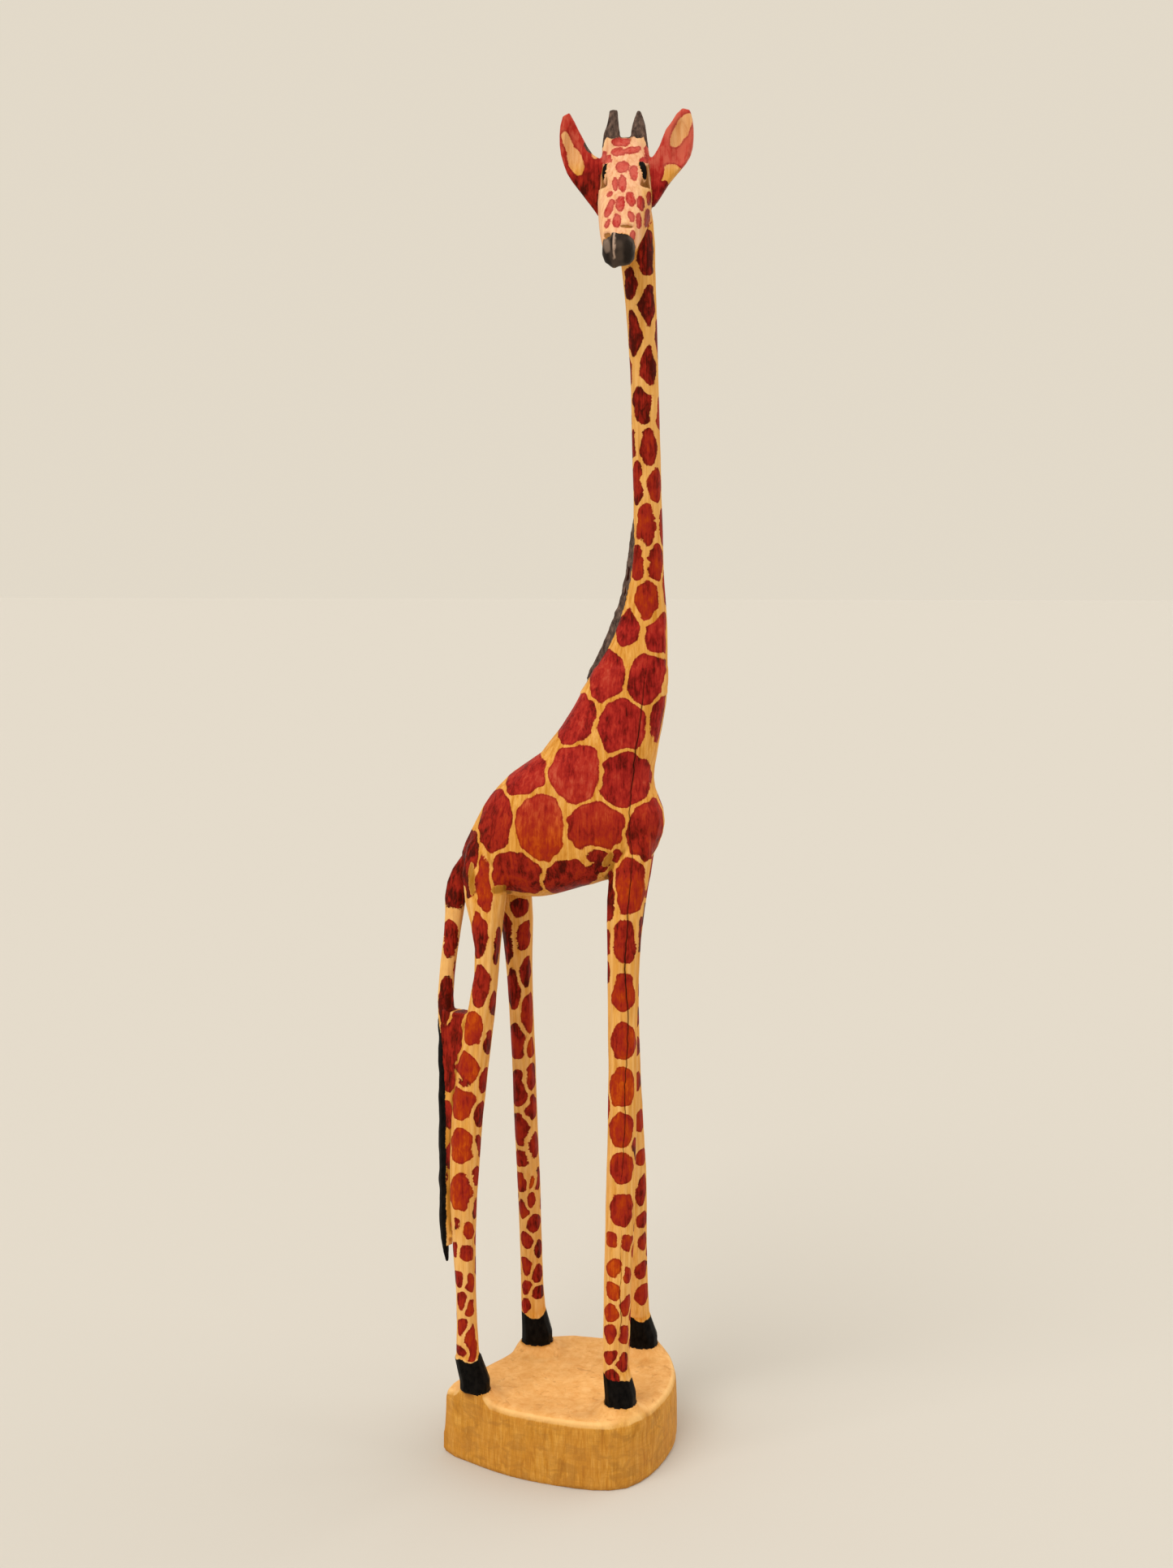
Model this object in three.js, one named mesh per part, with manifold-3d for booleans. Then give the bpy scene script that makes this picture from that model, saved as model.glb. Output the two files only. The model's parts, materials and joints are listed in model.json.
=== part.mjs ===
// Tall carved giraffe statue on a rough base, cut from one log. Millimetres.
// +X is the way the body faces, +Y its left side, +Z up; the origin is under the middle of the base.
// The head is turned to look out over the right flank, so its own frame is a nested group.
import * as THREE from "three";
import { mergeVertices } from "three/addons/utils/BufferGeometryUtils.js";
import Module from "manifold-3d";

const wasm = await Module();
wasm.setup();

// Driving dimensions
const GAP = 0.3; // clearance between neighbouring solids
const BASE_TOP = 53; // height of the base's rim
const BASE_HOLLOW = 3; // how deep the top of the base is scooped out
const HOOF_BOTTOM = 57; // the pads that carry the hooves end here
const HOOF_TOP = 84;
const REAR_LEG_TOP = 418;
const FRONT_LEG_TOP = 441;
const NECK_BOTTOM = 604;
const TAIL_TOP = 438;
const SQUARE = 2.3; // 2 gives an elliptical section, more gives a squarer carved one
const HEAD_SQUARE = 2.7;

// How finely each part is faceted: rings along it, and sides round it
const FACETS = {
  torso: [20, 24], neck: [22, 16], leg: [17, 12], tail: [18, 10], tuft: [11, 8], mane: [12, 8],
  skull: [13, 18], nose: [6, 14], horn: [5, 8],
};
const BALL_FACETS = [10, 8];
const HOOF_SIDES = 12;
const PAD_SIDES = 14;
const BASE_SIDES = 40;
const EAR_SIDES = 26;

const HEAD_PLACE = [50, -7, 976]; // middle of the forehead, between the horns
const HEAD_HEADING = 4; // degrees that the nose points ahead of straight sideways
const HEAD_PITCH = 58; // degrees that the nose hangs below level
const SNOUT = 84; // distance from forehead to the painted nose
const EAR_THICKNESS = 8;
const EAR_SET_BACK = 5; // middle of the ear plates behind the forehead

// Base outline seen from above, anticlockwise from the rear corner: x, y
const BASE_PLAN = [
  [-84, -40], [-58, -54], [-24, -66], [10, -71], [44, -71], [64, -64], [77, -46], [86, -16],
  [88, 14], [83, 44], [70, 70], [48, 77], [14, 76], [-18, 74], [-42, 58], [-52, 30], [-68, -2], [-80, -22],
];

// Where each hoof stands, and its half length and half width
const HOOVES = {
  rear_right: [-55.5, -49, 11.5, 10.5],
  rear_left: [-31, 43, 12.5, 11.5],
  front_right: [56, -44, 12, 11.5],
  front_left: [52.5, 57, 12.5, 11.5],
};

// Legs from the hoof up into the body: z, x, y, half length, half width
const LEGS = {
  rear_right: [
    [78, -61, -49, 9, 9.5], [120, -62, -48, 7.2, 9], [150, -63.5, -46, 7.8, 9.5], [185, -65, -44, 9.2, 10],
    [225, -65, -41, 11, 11], [270, -63, -38, 12, 11.5], [315, -58, -35, 11.5, 12], [350, -53, -32, 10, 12],
    [382, -49.5, -29, 8.6, 12], [408, -50, -27, 11, 13], [432, -52, -23, 16, 14], [462, -52, -17, 19, 13],
    [486, -46, -12, 12, 9],
  ],
  rear_left: [
    [78, -34, 43, 10, 10], [120, -35, 41.5, 8.8, 9.5], [165, -35.5, 39, 8.8, 10], [220, -36.5, 35, 9, 10.5],
    [270, -37.5, 32, 9, 11], [320, -38.5, 29, 9, 11.5], [370, -40, 26, 10, 12], [405, -41, 24, 12.5, 13],
    [432, -45, 21, 16, 14], [462, -49, 17, 19, 13], [486, -45, 12, 12, 9],
  ],
  front_right: [
    [78, 52.5, -43, 10, 10], [140, 53, -41, 10.3, 10.5], [200, 54, -37, 11, 11], [270, 54.5, -33, 10.6, 11.5],
    [330, 54, -29, 10.8, 12], [380, 53.5, -25, 11.8, 12.5], [425, 54, -22, 13.6, 13.5], [450, 56, -18, 15, 14],
    [480, 58, -13, 15, 12], [504, 58, -9, 10, 9],
  ],
  front_left: [
    [78, 49, 55, 10, 10], [140, 47.5, 49, 10, 10.5], [200, 48, 43, 10.3, 11], [270, 45.5, 36, 10, 11.5],
    [330, 44, 30, 10.4, 12], [380, 44.5, 26, 11, 12.5], [425, 48, 21, 13, 13.5], [450, 51, 18, 15, 14],
    [480, 55, 13, 15, 12], [504, 56, 9, 10, 9],
  ],
};

// Level slices through the body: z, x of the rear edge, x of the front edge, half width
const TORSO = [
  [431, -36, -12, 8], [434, -46, 0, 17], [440, -56, 18, 25], [447, -67, 42, 30], [455, -76, 62, 33],
  [465, -76, 71, 35], [476, -71, 76, 36], [488, -65, 79, 36], [499, -59, 78, 35], [509, -52, 74, 34],
  [518, -44, 71, 33], [528, -32, 71, 32], [540, -14, 73, 30], [552, -5, 75, 28], [568, 7, 78, 25],
  [590, 19, 81, 21.5], [612, 31, 81, 18],
];

// Neck: z, x of the nape, x of the throat, half width
const NECK = [
  [585, 15, 81, 22], [600, 25, 81, 19.5], [620, 37, 80.5, 16.5], [637, 43.5, 80, 14.6], [652, 48.5, 79, 13.4],
  [672, 53, 77.5, 12.2], [700, 55.5, 76.5, 11.2], [757, 54, 74.5, 10.4], [804, 53, 73, 10.4], [849, 50, 71.5, 11],
  [889, 46, 70, 13], [915, 41, 69, 15], [940, 37, 65, 15], [956, 38, 61, 11],
];

// Ridge of the mane along the nape: z, x of its outer edge, half width
const MANE = [
  [712, 54.8, 2], [703, 53.2, 2.8], [684, 50.8, 3.4], [662, 46.8, 3.8], [650, 43.2, 4], [637, 38.8, 4],
  [620, 31.8, 3.8], [606, 24.4, 3.2], [595, 19.6, 2.2],
];
const MANE_DEPTH = 9; // from its outer edge into the neck

// Tail: z, x, y, half length, half width
const TAIL = [
  [468, -60, -4, 9, 8], [452, -71, -6, 11, 8], [434, -79, -9, 9, 7.5], [412, -80, -14, 6.8, 7],
  [385, -82.5, -19, 6, 7], [355, -84, -24, 6, 7], [325, -81.5, -28, 6.6, 7], [290, -82, -31, 5.8, 6.5],
  [250, -82, -33, 4.6, 6], [205, -82, -35, 4, 5.5], [166, -80, -38, 4, 5],
];

// Black tuft down the back of the tail: z, x, y, half length, half width
const TUFT = [
  [338, -88, -26, 1.2, 2.2], [320, -86, -27, 2.6, 4], [290, -85, -29, 3.1, 4.6], [245, -84.6, -32, 3.2, 4.8],
  [195, -84, -34, 3.2, 4.8], [168, -82.5, -36, 2.7, 4.2], [152, -80.5, -37, 1.2, 2],
];

// Head slices from forehead to nose: distance, half width, upper edge, lower edge
const SKULL = [
  [-8, 7, -7, -14], [-4, 12.5, -2, -20], [6, 16, 0, -27], [22, 17.8, 0, -36], [42, 18.8, 0, -40], [58, 17, 0, -37],
  [72, 14.6, -1, -31], [SNOUT, 12, -2, -26.5], [SNOUT + 3, 12, -2.5, -26],
];
const NOSE = [
  [SNOUT - 1, 11.6, -2, -26], [SNOUT + 3, 11.8, -1, -26], [SNOUT + 8, 11.6, -2, -25],
  [SNOUT + 11.5, 10.2, -4, -23], [SNOUT + 13.5, 7.5, -7, -20],
];

// Ear outlines, seen from in front of the face: distance out from the middle of the head, height above the brow
const EAR_RIGHT = [
  [13, -16], [24, -9], [31.5, 3], [36, 11], [40.5, 20], [43.5, 21.5], [47, 14], [48, 4], [47.5, -6], [45, -15],
  [41.5, -23], [31.5, -36], [24, -46], [17.5, -54], [13, -38],
];
const EAR_LEFT = [
  [13, -20], [21.5, -8], [24.5, -2], [27.5, 6], [31.5, 11], [38, 19.5], [43.5, 20.5], [46.5, 12], [47, -3],
  [45.5, -11], [42, -17], [36.5, -23], [29.5, -31], [23.5, -40], [17, -47], [13, -34],
];

const EAR_SCOOP = { out: 38, up: -4, size: [7, 4.5, 19] };

// Horns: height above the brow, distance out, distance back, half length, half width
const HORN_RIGHT = [[-14, 11, 4, 7, 6.5], [3, 10.8, 4, 6.3, 6], [12, 10, 4.5, 4.2, 4.6], [21, 9.5, 5, 3.1, 3.4]];
const HORN_LEFT = [[-14, 9.5, 4, 7.5, 6.5], [3, 8.6, 4, 5.8, 6], [12, 8.6, 4.5, 4.2, 4.4], [20, 8.6, 5, 1.2, 1.6]];
const HORN_ROOT = 4; // the horns leave the skull at this height above the brow

const EYE = { out: 12.5, back: -7, up: -25, size: [3.6, 4.5, 8] };
const SOCKET = { out: 21.5, back: -13, up: -24, size: [9.5, 12, 11] };

const paint = (colour, roughness) => new THREE.MeshStandardMaterial({ color: colour, roughness, metalness: 0 });
const MATERIALS = {
  raw: () => paint(0xd9a866, 0.75),
  spotted: () => paint(0xa8452a, 0.5),
  face: () => paint(0xe8b48c, 0.55),
  ear: () => paint(0xb03a2e, 0.55),
  dark: () => paint(0x4a4142, 0.7),
  black: () => paint(0x161414, 0.4),
};

// A solid from a closed geometry
function solid(geometry) {
  const bare = new THREE.BufferGeometry().setAttribute("position", geometry.attributes.position.clone());
  if (geometry.index) bare.setIndex(geometry.index.clone());
  const merged = mergeVertices(bare, 1e-4);
  const triVerts = new Uint32Array(merged.index.array);
  const vertProperties = merged.attributes.position.array;
  return new wasm.Manifold(new wasm.Mesh({ numProp: 3, vertProperties, triVerts }));
}

// The geometry of a solid
function geometryOf(made) {
  const { vertProperties, triVerts, numProp } = made.getMesh();
  const points = new Float32Array((vertProperties.length / numProp) * 3);
  for (let i = 0; i < points.length / 3; i++) {
    points.set(vertProperties.subarray(i * numProp, i * numProp + 3), i * 3);
  }
  const geometry = new THREE.BufferGeometry().setAttribute("position", new THREE.BufferAttribute(points, 3));
  return geometry.setIndex(new THREE.BufferAttribute(new Uint32Array(triVerts), 1));
}

const moved = (made, matrix) => solid(geometryOf(made).applyMatrix4(matrix));

// A mesh from a solid
function piece(name, made, material) {
  const geometry = geometryOf(made);
  geometry.computeVertexNormals();
  const mesh = new THREE.Mesh(geometry, material());
  mesh.name = name;
  return mesh;
}

// Closed skin over rings that each hold the same number of points
function skin(rings) {
  const sides = rings[0].length;
  const corners = rings.flat();
  const faces = [];
  for (let r = 0; r + 1 < rings.length; r++) {
    for (let k = 0; k < sides; k++) {
      const [a, b] = [r * sides + k, r * sides + ((k + 1) % sides)];
      faces.push(a, b, b + sides, a, b + sides, a + sides);
    }
  }
  for (const [ring, flip] of [[0, true], [rings.length - 1, false]]) {
    const middle = rings[ring].reduce((sum, p) => sum.add(p), new THREE.Vector3()).divideScalar(sides);
    corners.push(middle);
    for (let k = 0; k < sides; k++) {
      const [a, b] = [ring * sides + k, ring * sides + ((k + 1) % sides)];
      faces.push(...(flip ? [b, a, corners.length - 1] : [a, b, corners.length - 1]));
    }
  }
  return new THREE.BufferGeometry().setFromPoints(corners).setIndex(faces);
}

// Rows of numbers, smoothly resampled between the given ones
function resampled(rows, count) {
  const columns = rows[0].map((_, c) => new THREE.CatmullRomCurve3(
    rows.map((row, i) => new THREE.Vector3(i, row[c], 0)), false, "catmullrom", 0.5));
  return Array.from({ length: count + 1 }, (_, i) => columns.map((curve) => curve.getPoint(i / count).y));
}

// A level ring, squarer than an ellipse by the given power
function levelRing([x, y, z], halfX, halfY, sides, power = SQUARE) {
  return Array.from({ length: sides }, (_, k) => {
    const turn = (2 * Math.PI * k) / sides;
    const [c, s] = [Math.cos(turn), Math.sin(turn)];
    const bend = (v) => Math.sign(v) * Math.abs(v) ** (2 / power);
    return new THREE.Vector3(x + halfX * bend(c), y + halfY * bend(s), z);
  });
}

// Upright stem through rows of z, x, y, half length, half width, grown all round by extra
function stem(rows, [count, sides], extra = 0) {
  const upward = rows[0][0] < rows[rows.length - 1][0] ? rows : [...rows].reverse();
  const rings = resampled(upward, count).map(([z, x, y, halfX, halfY]) =>
    levelRing([x, y, z], halfX + extra, halfY + extra, sides));
  if (extra) {
    rings[0].forEach((p) => (p.z -= extra));
    rings[rings.length - 1].forEach((p) => (p.z += extra));
  }
  return solid(skin(rings));
}

// Upright stem through rows of z, rear x, front x, half width
const slices = (rows, facets) =>
  stem(rows.map(([z, rear, front, half]) => [z, (rear + front) / 2, 0, (front - rear) / 2, half]), facets);

// A block that fills everything on one side of a plane
function sideOf(point, normal) {
  const SIZE = 2400;
  const block = new THREE.BoxGeometry(SIZE, SIZE, SIZE).translate(0, 0, SIZE / 2);
  const turn = new THREE.Quaternion().setFromUnitVectors(new THREE.Vector3(0, 0, 1), normal.clone().normalize());
  return solid(block.applyQuaternion(turn).translate(point.x, point.y, point.z));
}
const UP = new THREE.Vector3(0, 0, 1);
const DOWN = new THREE.Vector3(0, 0, -1);
const above = (z) => sideOf(new THREE.Vector3(0, 0, z + GAP / 2), UP);
const below = (z) => sideOf(new THREE.Vector3(0, 0, z - GAP / 2), DOWN);

// Base: sawn flat underneath, hewn sides, a scooped top and a raised pad under each hoof
function base() {
  const RIM = 3;
  const TALL = 10;
  const corners = BASE_PLAN.map(([x, y]) => new THREE.Vector3(x, y, 0));
  const plan = new THREE.CatmullRomCurve3(corners, true, "centripetal");
  const outline = plan.getSpacedPoints(BASE_SIDES).slice(0, BASE_SIDES);
  const level = ([z, scale]) => outline.map((p) => new THREE.Vector3(p.x * scale, p.y * scale, z));
  const layers = [
    [0, 0.985], [RIM, 1], [BASE_TOP / 2, 0.995], [BASE_TOP - 2 * RIM, 0.985], [BASE_TOP - RIM / 3, 0.965],
    [BASE_TOP, 0.93], [BASE_TOP - BASE_HOLLOW * 0.7, 0.78], [BASE_TOP - BASE_HOLLOW, 0.5],
  ];
  const sawn = solid(skin([[0, 1], [BASE_TOP + TALL, 1]].map(level)));
  const pads = Object.values(HOOVES).map(([x, y, halfX, halfY]) => {
    const slope = [[BASE_TOP - 12, 9], [BASE_TOP - 2, 7], [HOOF_BOTTOM - 1, 3.5], [HOOF_BOTTOM, 2]];
    return solid(skin(slope.map(([z, grow]) => levelRing([x, y, z], halfX + grow, halfY + grow, PAD_SIDES))));
  });
  const block = pads.reduce((made, pad) => made.add(pad.intersect(sawn)), solid(skin(layers.map(level))));
  return piece("base_block", block, MATERIALS.raw);
}

// Hoof: flares from the leg to a rounded toe
function hoof(name) {
  const ANKLE = 10;
  const [x, y, halfX, halfY] = HOOVES[name];
  const [, legX, legY] = LEGS[name][0];
  const bottom = HOOF_BOTTOM + GAP;
  const shapes = [
    [[x, y, bottom], halfX - 1.5, halfY - 1.5],
    [[x, y, bottom + 2], halfX, halfY],
    [[x, y, bottom + 8], halfX, halfY],
    [[(x + legX) / 2, (y + legY) / 2, bottom + 17], (halfX + ANKLE) / 2, (halfY + ANKLE) / 2],
    [[legX, legY, HOOF_TOP - GAP / 2], ANKLE, ANKLE],
  ];
  const rings = shapes.map(([middle, long, wide]) => levelRing(middle, long, wide, HOOF_SIDES));
  return piece("hoof_" + name, solid(skin(rings)), MATERIALS.black);
}

const legStem = (name) => stem(LEGS[name], FACETS.leg);
const legTop = (name) => (name.startsWith("rear") ? REAR_LEG_TOP : FRONT_LEG_TOP);

function leg(name) {
  let made = legStem(name).intersect(below(legTop(name))).intersect(above(HOOF_TOP));
  if (name === "rear_right") made = made.subtract(tailStem(GAP)).subtract(tuftStem(GAP));
  return piece("leg_" + name, made, MATERIALS.spotted);
}

const neckStem = () => slices(NECK, FACETS.neck);
const tailStem = (extra) => stem(TAIL, FACETS.tail, extra);
const tuftStem = (extra) => stem(TUFT, FACETS.tuft, extra);

function tail() {
  const hanging = tailStem(0).intersect(below(TAIL_TOP)).subtract(tuftStem(GAP));
  return piece("tail", hanging, MATERIALS.spotted);
}

const tuft = () => piece("tail_tuft", tuftStem(0), MATERIALS.black);

function torso() {
  let made = slices(TORSO, FACETS.torso).intersect(below(NECK_BOTTOM));
  made = made.add(neckStem().intersect(below(NECK_BOTTOM)));
  for (const name of Object.keys(LEGS)) made = made.add(legStem(name).intersect(above(legTop(name))));
  made = made.add(tailStem(0).intersect(above(TAIL_TOP)));
  made = made.subtract(tailStem(GAP).intersect(below(TAIL_TOP + GAP))).subtract(maneStem(GAP));
  return piece("torso", made, MATERIALS.spotted);
}

// Mane: a low ridge let into the nape
function maneStem(extra) {
  const rows = MANE.map(([z, outer, half]) => [z, outer + MANE_DEPTH / 2, 0, MANE_DEPTH / 2, half]);
  return stem(rows, FACETS.mane, extra);
}
const mane = () => piece("mane", maneStem(0), MATERIALS.dark);

// Throat plane between neck and head
const THROAT = new THREE.Vector3(58, -12, 899);
const THROAT_SLOPE = new THREE.Vector3(0, -0.62, 0.78);
const throatSide = (way) =>
  sideOf(THROAT.clone().addScaledVector(THROAT_SLOPE, (way * GAP) / 2), THROAT_SLOPE.clone().multiplyScalar(way));

function neck() {
  const made = neckStem().intersect(above(NECK_BOTTOM)).intersect(throatSide(-1)).subtract(maneStem(GAP));
  return piece("neck", made, MATERIALS.spotted);
}

// The head group: x across the head, y back from the nose, z up, from the middle of the forehead
const headGroup = new THREE.Group();
headGroup.name = "head_group";
headGroup.position.set(...HEAD_PLACE);
headGroup.rotation.z = THREE.MathUtils.degToRad(HEAD_HEADING);
headGroup.updateMatrixWorld(true);
const INTO_HEAD = headGroup.matrixWorld.clone().invert();

// Turns the head's slices to lie along the way the nose hangs
const HANG = new THREE.Matrix4().makeRotationX(THREE.MathUtils.degToRad(90 + HEAD_PITCH));

// Slices across the head, laid along the way the nose hangs
function headStem(rows, [count, sides], extra = 0) {
  const rings = resampled(rows, count).map(([along, half, upper, lower]) =>
    levelRing([0, (upper + lower) / 2, along], half + extra, (upper - lower) / 2 + extra, sides, HEAD_SQUARE));
  return solid(skin(rings).applyMatrix4(HANG));
}

const ball = (x, y, z, size, extra = 0) => solid(
  new THREE.SphereGeometry(1, ...BALL_FACETS).scale(...size.map((half) => half + extra)).translate(x, y, z));
const eyeBall = (side, extra) => ball(side * EYE.out, EYE.back, EYE.up, EYE.size, extra);
const horn = (rows, side) => stem(rows.map(([up, out, ...rest]) => [up, side * out, ...rest]), FACETS.horn);

// An ear: a leaf-shaped plate, scooped in front; side is 1 for the animal's left ear
function earPlate(outline, side) {
  const BEVEL = 2;
  const points = outline.map(([out, up]) => new THREE.Vector3(side * out, up, 0));
  const curve = new THREE.CatmullRomCurve3(points, true, "centripetal");
  const edge = curve.getSpacedPoints(EAR_SIDES).slice(0, EAR_SIDES);
  const leaf = new THREE.ExtrudeGeometry(new THREE.Shape(edge.map((p) => new THREE.Vector2(p.x, p.y))), {
    depth: EAR_THICKNESS - 2 * BEVEL, bevelEnabled: true, bevelThickness: BEVEL, bevelSize: BEVEL * 0.8,
    bevelOffset: -BEVEL * 0.8, bevelSegments: 2,
  });
  leaf.translate(0, 0, BEVEL - EAR_THICKNESS / 2).rotateX(Math.PI / 2).translate(0, EAR_SET_BACK, 0);
  const scoop = ball(side * EAR_SCOOP.out, EAR_SET_BACK - EAR_THICKNESS / 2 - 1, EAR_SCOOP.up, EAR_SCOOP.size);
  return solid(leaf).subtract(scoop);
}

const skull = (extra) => headStem(SKULL, FACETS.skull, extra);

// One side of the plane across the snout where the painted nose begins
function snoutSide(way) {
  const point = new THREE.Vector3(0, 0, SNOUT + (way * GAP) / 2).applyMatrix4(HANG);
  return sideOf(point, new THREE.Vector3(0, 0, way).transformDirection(HANG));
}

function head() {
  const neckEnd = moved(neckStem().intersect(throatSide(1)), INTO_HEAD);
  let made = skull(0).intersect(snoutSide(-1)).add(neckEnd);
  for (const [side, rows] of [[-1, HORN_RIGHT], [1, HORN_LEFT]]) {
    made = made.add(horn(rows, side).intersect(below(HORN_ROOT)));
    made = made.subtract(ball(side * SOCKET.out, SOCKET.back, SOCKET.up, SOCKET.size));
    made = made.subtract(eyeBall(side, GAP));
  }
  return piece("head", made, MATERIALS.face);
}

const muzzle = () => piece("muzzle", headStem(NOSE, FACETS.nose).intersect(snoutSide(1)), MATERIALS.black);

function ear(name, outline, side, hornRows) {
  const neckEnd = moved(neckStem(), INTO_HEAD);
  const grown = hornRows.map(([up, out, back, long, wide]) => [up, out, back, long + GAP, wide + GAP]);
  const rootOfHorn = horn(grown, side);
  const plate = earPlate(outline, side).subtract(skull(GAP)).subtract(neckEnd).subtract(rootOfHorn);
  return piece(name, plate, MATERIALS.ear);
}

const hornPiece = (name, rows, side) => piece(name, horn(rows, side).intersect(above(HORN_ROOT)), MATERIALS.dark);
const eye = (name, side) => piece(name, eyeBall(side, 0), MATERIALS.black);

headGroup.add(
  head(), muzzle(), ear("ear_right", EAR_RIGHT, -1, HORN_RIGHT), ear("ear_left", EAR_LEFT, 1, HORN_LEFT),
  hornPiece("horn_right", HORN_RIGHT, -1), hornPiece("horn_left", HORN_LEFT, 1),
  eye("eye_right", -1), eye("eye_left", 1),
);

const statue = new THREE.Group();
statue.name = "carved_giraffe_statue";
statue.add(base(), torso(), neck(), mane(), tail(), tuft(), headGroup);
for (const name of Object.keys(LEGS)) statue.add(leg(name), hoof(name));

export default statue;
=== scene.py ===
# A tall carved giraffe statue, cut from one log with its base and painted by hand.
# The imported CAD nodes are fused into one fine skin, carved and painted, and cut again into the same nodes.
import itertools
import json
import math

import bmesh
import bpy
import numpy as np
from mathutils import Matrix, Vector
from mathutils.bvhtree import BVHTree


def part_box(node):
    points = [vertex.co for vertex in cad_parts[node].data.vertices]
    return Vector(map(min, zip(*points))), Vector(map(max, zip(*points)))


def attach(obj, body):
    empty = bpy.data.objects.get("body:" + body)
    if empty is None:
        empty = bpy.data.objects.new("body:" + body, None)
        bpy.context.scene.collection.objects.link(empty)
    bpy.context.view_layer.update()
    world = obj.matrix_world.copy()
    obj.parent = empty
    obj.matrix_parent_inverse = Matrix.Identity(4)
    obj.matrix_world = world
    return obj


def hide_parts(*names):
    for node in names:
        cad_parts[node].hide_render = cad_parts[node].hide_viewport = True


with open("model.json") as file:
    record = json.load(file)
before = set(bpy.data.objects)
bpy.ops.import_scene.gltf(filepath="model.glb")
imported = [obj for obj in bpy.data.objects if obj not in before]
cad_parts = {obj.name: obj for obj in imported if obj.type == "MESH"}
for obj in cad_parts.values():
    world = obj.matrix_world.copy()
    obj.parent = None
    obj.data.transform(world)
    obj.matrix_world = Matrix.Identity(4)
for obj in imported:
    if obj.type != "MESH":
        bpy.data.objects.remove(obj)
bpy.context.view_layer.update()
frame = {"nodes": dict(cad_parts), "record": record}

# Sizes are in millimetres, and meshes are written in metres
MM = 0.001
VOXEL = 1.0  # edge of the fine skin's quads
FUSE = 0.28  # how far each node is grown, so that neighbours meet
RIM = 1.2  # how far the edge of a cut turns into the wood
FAR = 99.0  # a distance to what isn't there
NOTCH_DEPTH, CRACK_DEPTH = 1.3, 0.7
NO_PAINT, ALL_PAINT = -9.0, 2.0  # millimetres inside a paint's edge: well out and well in

CAMERA = (0.3063, -1.2284, 0.667)  # where the photograph was taken from, in metres
RIGHT = (0.0, -1.0, 0.0)  # the statue's right side, which the camera sees
HEAD_PLACE = np.array([50.0, -7.0, 976.0])  # middle of the brow
HEAD_HEADING = 4  # degrees that the face is turned from the right side towards the front

# Heights
BASE_TOP = 48  # lowest place of the base's hollowed top
BELLY, SHOULDER = (420, 455), (645, 615)  # between them the gaps between spots are wide
BLACK_TAIL = 340  # the tail's rear edge is black below this
COMBED_TAIL = 335  # and its hair is carved below this
NOSE_LOW = 882  # where the nose's black ends below
MANE_BLUR = (750, 700)  # the mane's charcoal spreads on to the neck, more and more on the way down

NODES = sorted(frame["nodes"])
LEGS = ["rear_right", "rear_left", "front_right", "front_left"]
SLOT_OF = {row["node"]: row["material_slot"] for row in frame["record"]["subparts"]}

# -------- small tools


def lattice(cells, seed):
    """A repeatable number from -1 to 1 for each whole-number cell."""
    x, y, z = cells.T
    h = (x * 374761393 + y * 668265263 + z * 2246822519 + seed * 3266489917) & 0xFFFFFFFF
    h = ((h ^ (h >> 13)) * 1274126177) & 0xFFFFFFFF
    return ((h ^ (h >> 16)) & 0xFFFFFF) / 0x7FFFFF - 1


def noise(points, size, seed):
    """Smooth noise from -1 to 1 that changes over about size, one length or three."""
    place = points / np.asarray(size, float)
    cell = np.floor(place).astype(np.int64)
    part = place - cell
    part = part * part * (3 - 2 * part)
    total = np.zeros(len(points))
    for corner in itertools.product((0, 1), repeat=3):
        weight = np.where(np.array(corner) == 1, part, 1 - part).prod(axis=1)
        total += weight * lattice(cell + np.array(corner), seed)
    return total


def waves(points, *rows):
    """The sum of noises, each given as its size, seed and amount."""
    return sum(noise(points, size, seed) * amount for size, seed, amount in rows)


def shaken(points, *rows):
    """Points moved by noises, given as for waves; each takes three seeds."""
    moves = []
    for axis in range(3):
        moves.append(waves(points, *[(size, seed + axis, amount) for size, seed, amount in rows]))
    return points + np.column_stack(moves)


def turned(across, up, degrees):
    """Two coordinates read from axes that are turned by an angle."""
    angle = math.radians(degrees)
    cosine, sine = math.cos(angle), math.sin(angle)
    return across * cosine + up * sine, up * cosine - across * sine


def smooth(low, high, value):
    """0 below low, 1 above high, and an even S between."""
    t = np.clip((value - low) / (high - low), 0, 1)
    return t * t * (3 - 2 * t)


def normalised(rows):
    return rows / np.maximum(np.linalg.norm(rows, axis=1, keepdims=True), 1e-12)


def point_normals(points, faces):
    """Area-weighted normals from triangles or quads."""
    a, b, c, d = [points[faces[:, corner]] for corner in (0, 1, -2, -1)]
    flat = np.cross(c - a, d - b) if faces.shape[1] == 4 else np.cross(b - a, d - a)
    total = np.zeros_like(points)
    for column in faces.T:
        for axis in range(3):
            total[:, axis] += np.bincount(column, flat[:, axis], len(points))
    return normalised(total)


def neighbour_mean(rows, edges):
    """For each point, the mean of the points that its edges lead to."""
    a, b = edges.T
    count = len(rows)
    total = [np.bincount(a, rows[b, axis], count) + np.bincount(b, rows[a, axis], count) for axis in range(3)]
    degree = np.bincount(a, minlength=count) + np.bincount(b, minlength=count)
    return np.column_stack(total) / degree[:, None]


def new_mesh(name, points, faces):
    """A Blender mesh from points in millimetres."""
    mesh = bpy.data.meshes.new(name)
    mesh.from_pydata((points * MM).tolist(), [], faces.tolist())
    mesh.update()
    return mesh


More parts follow.
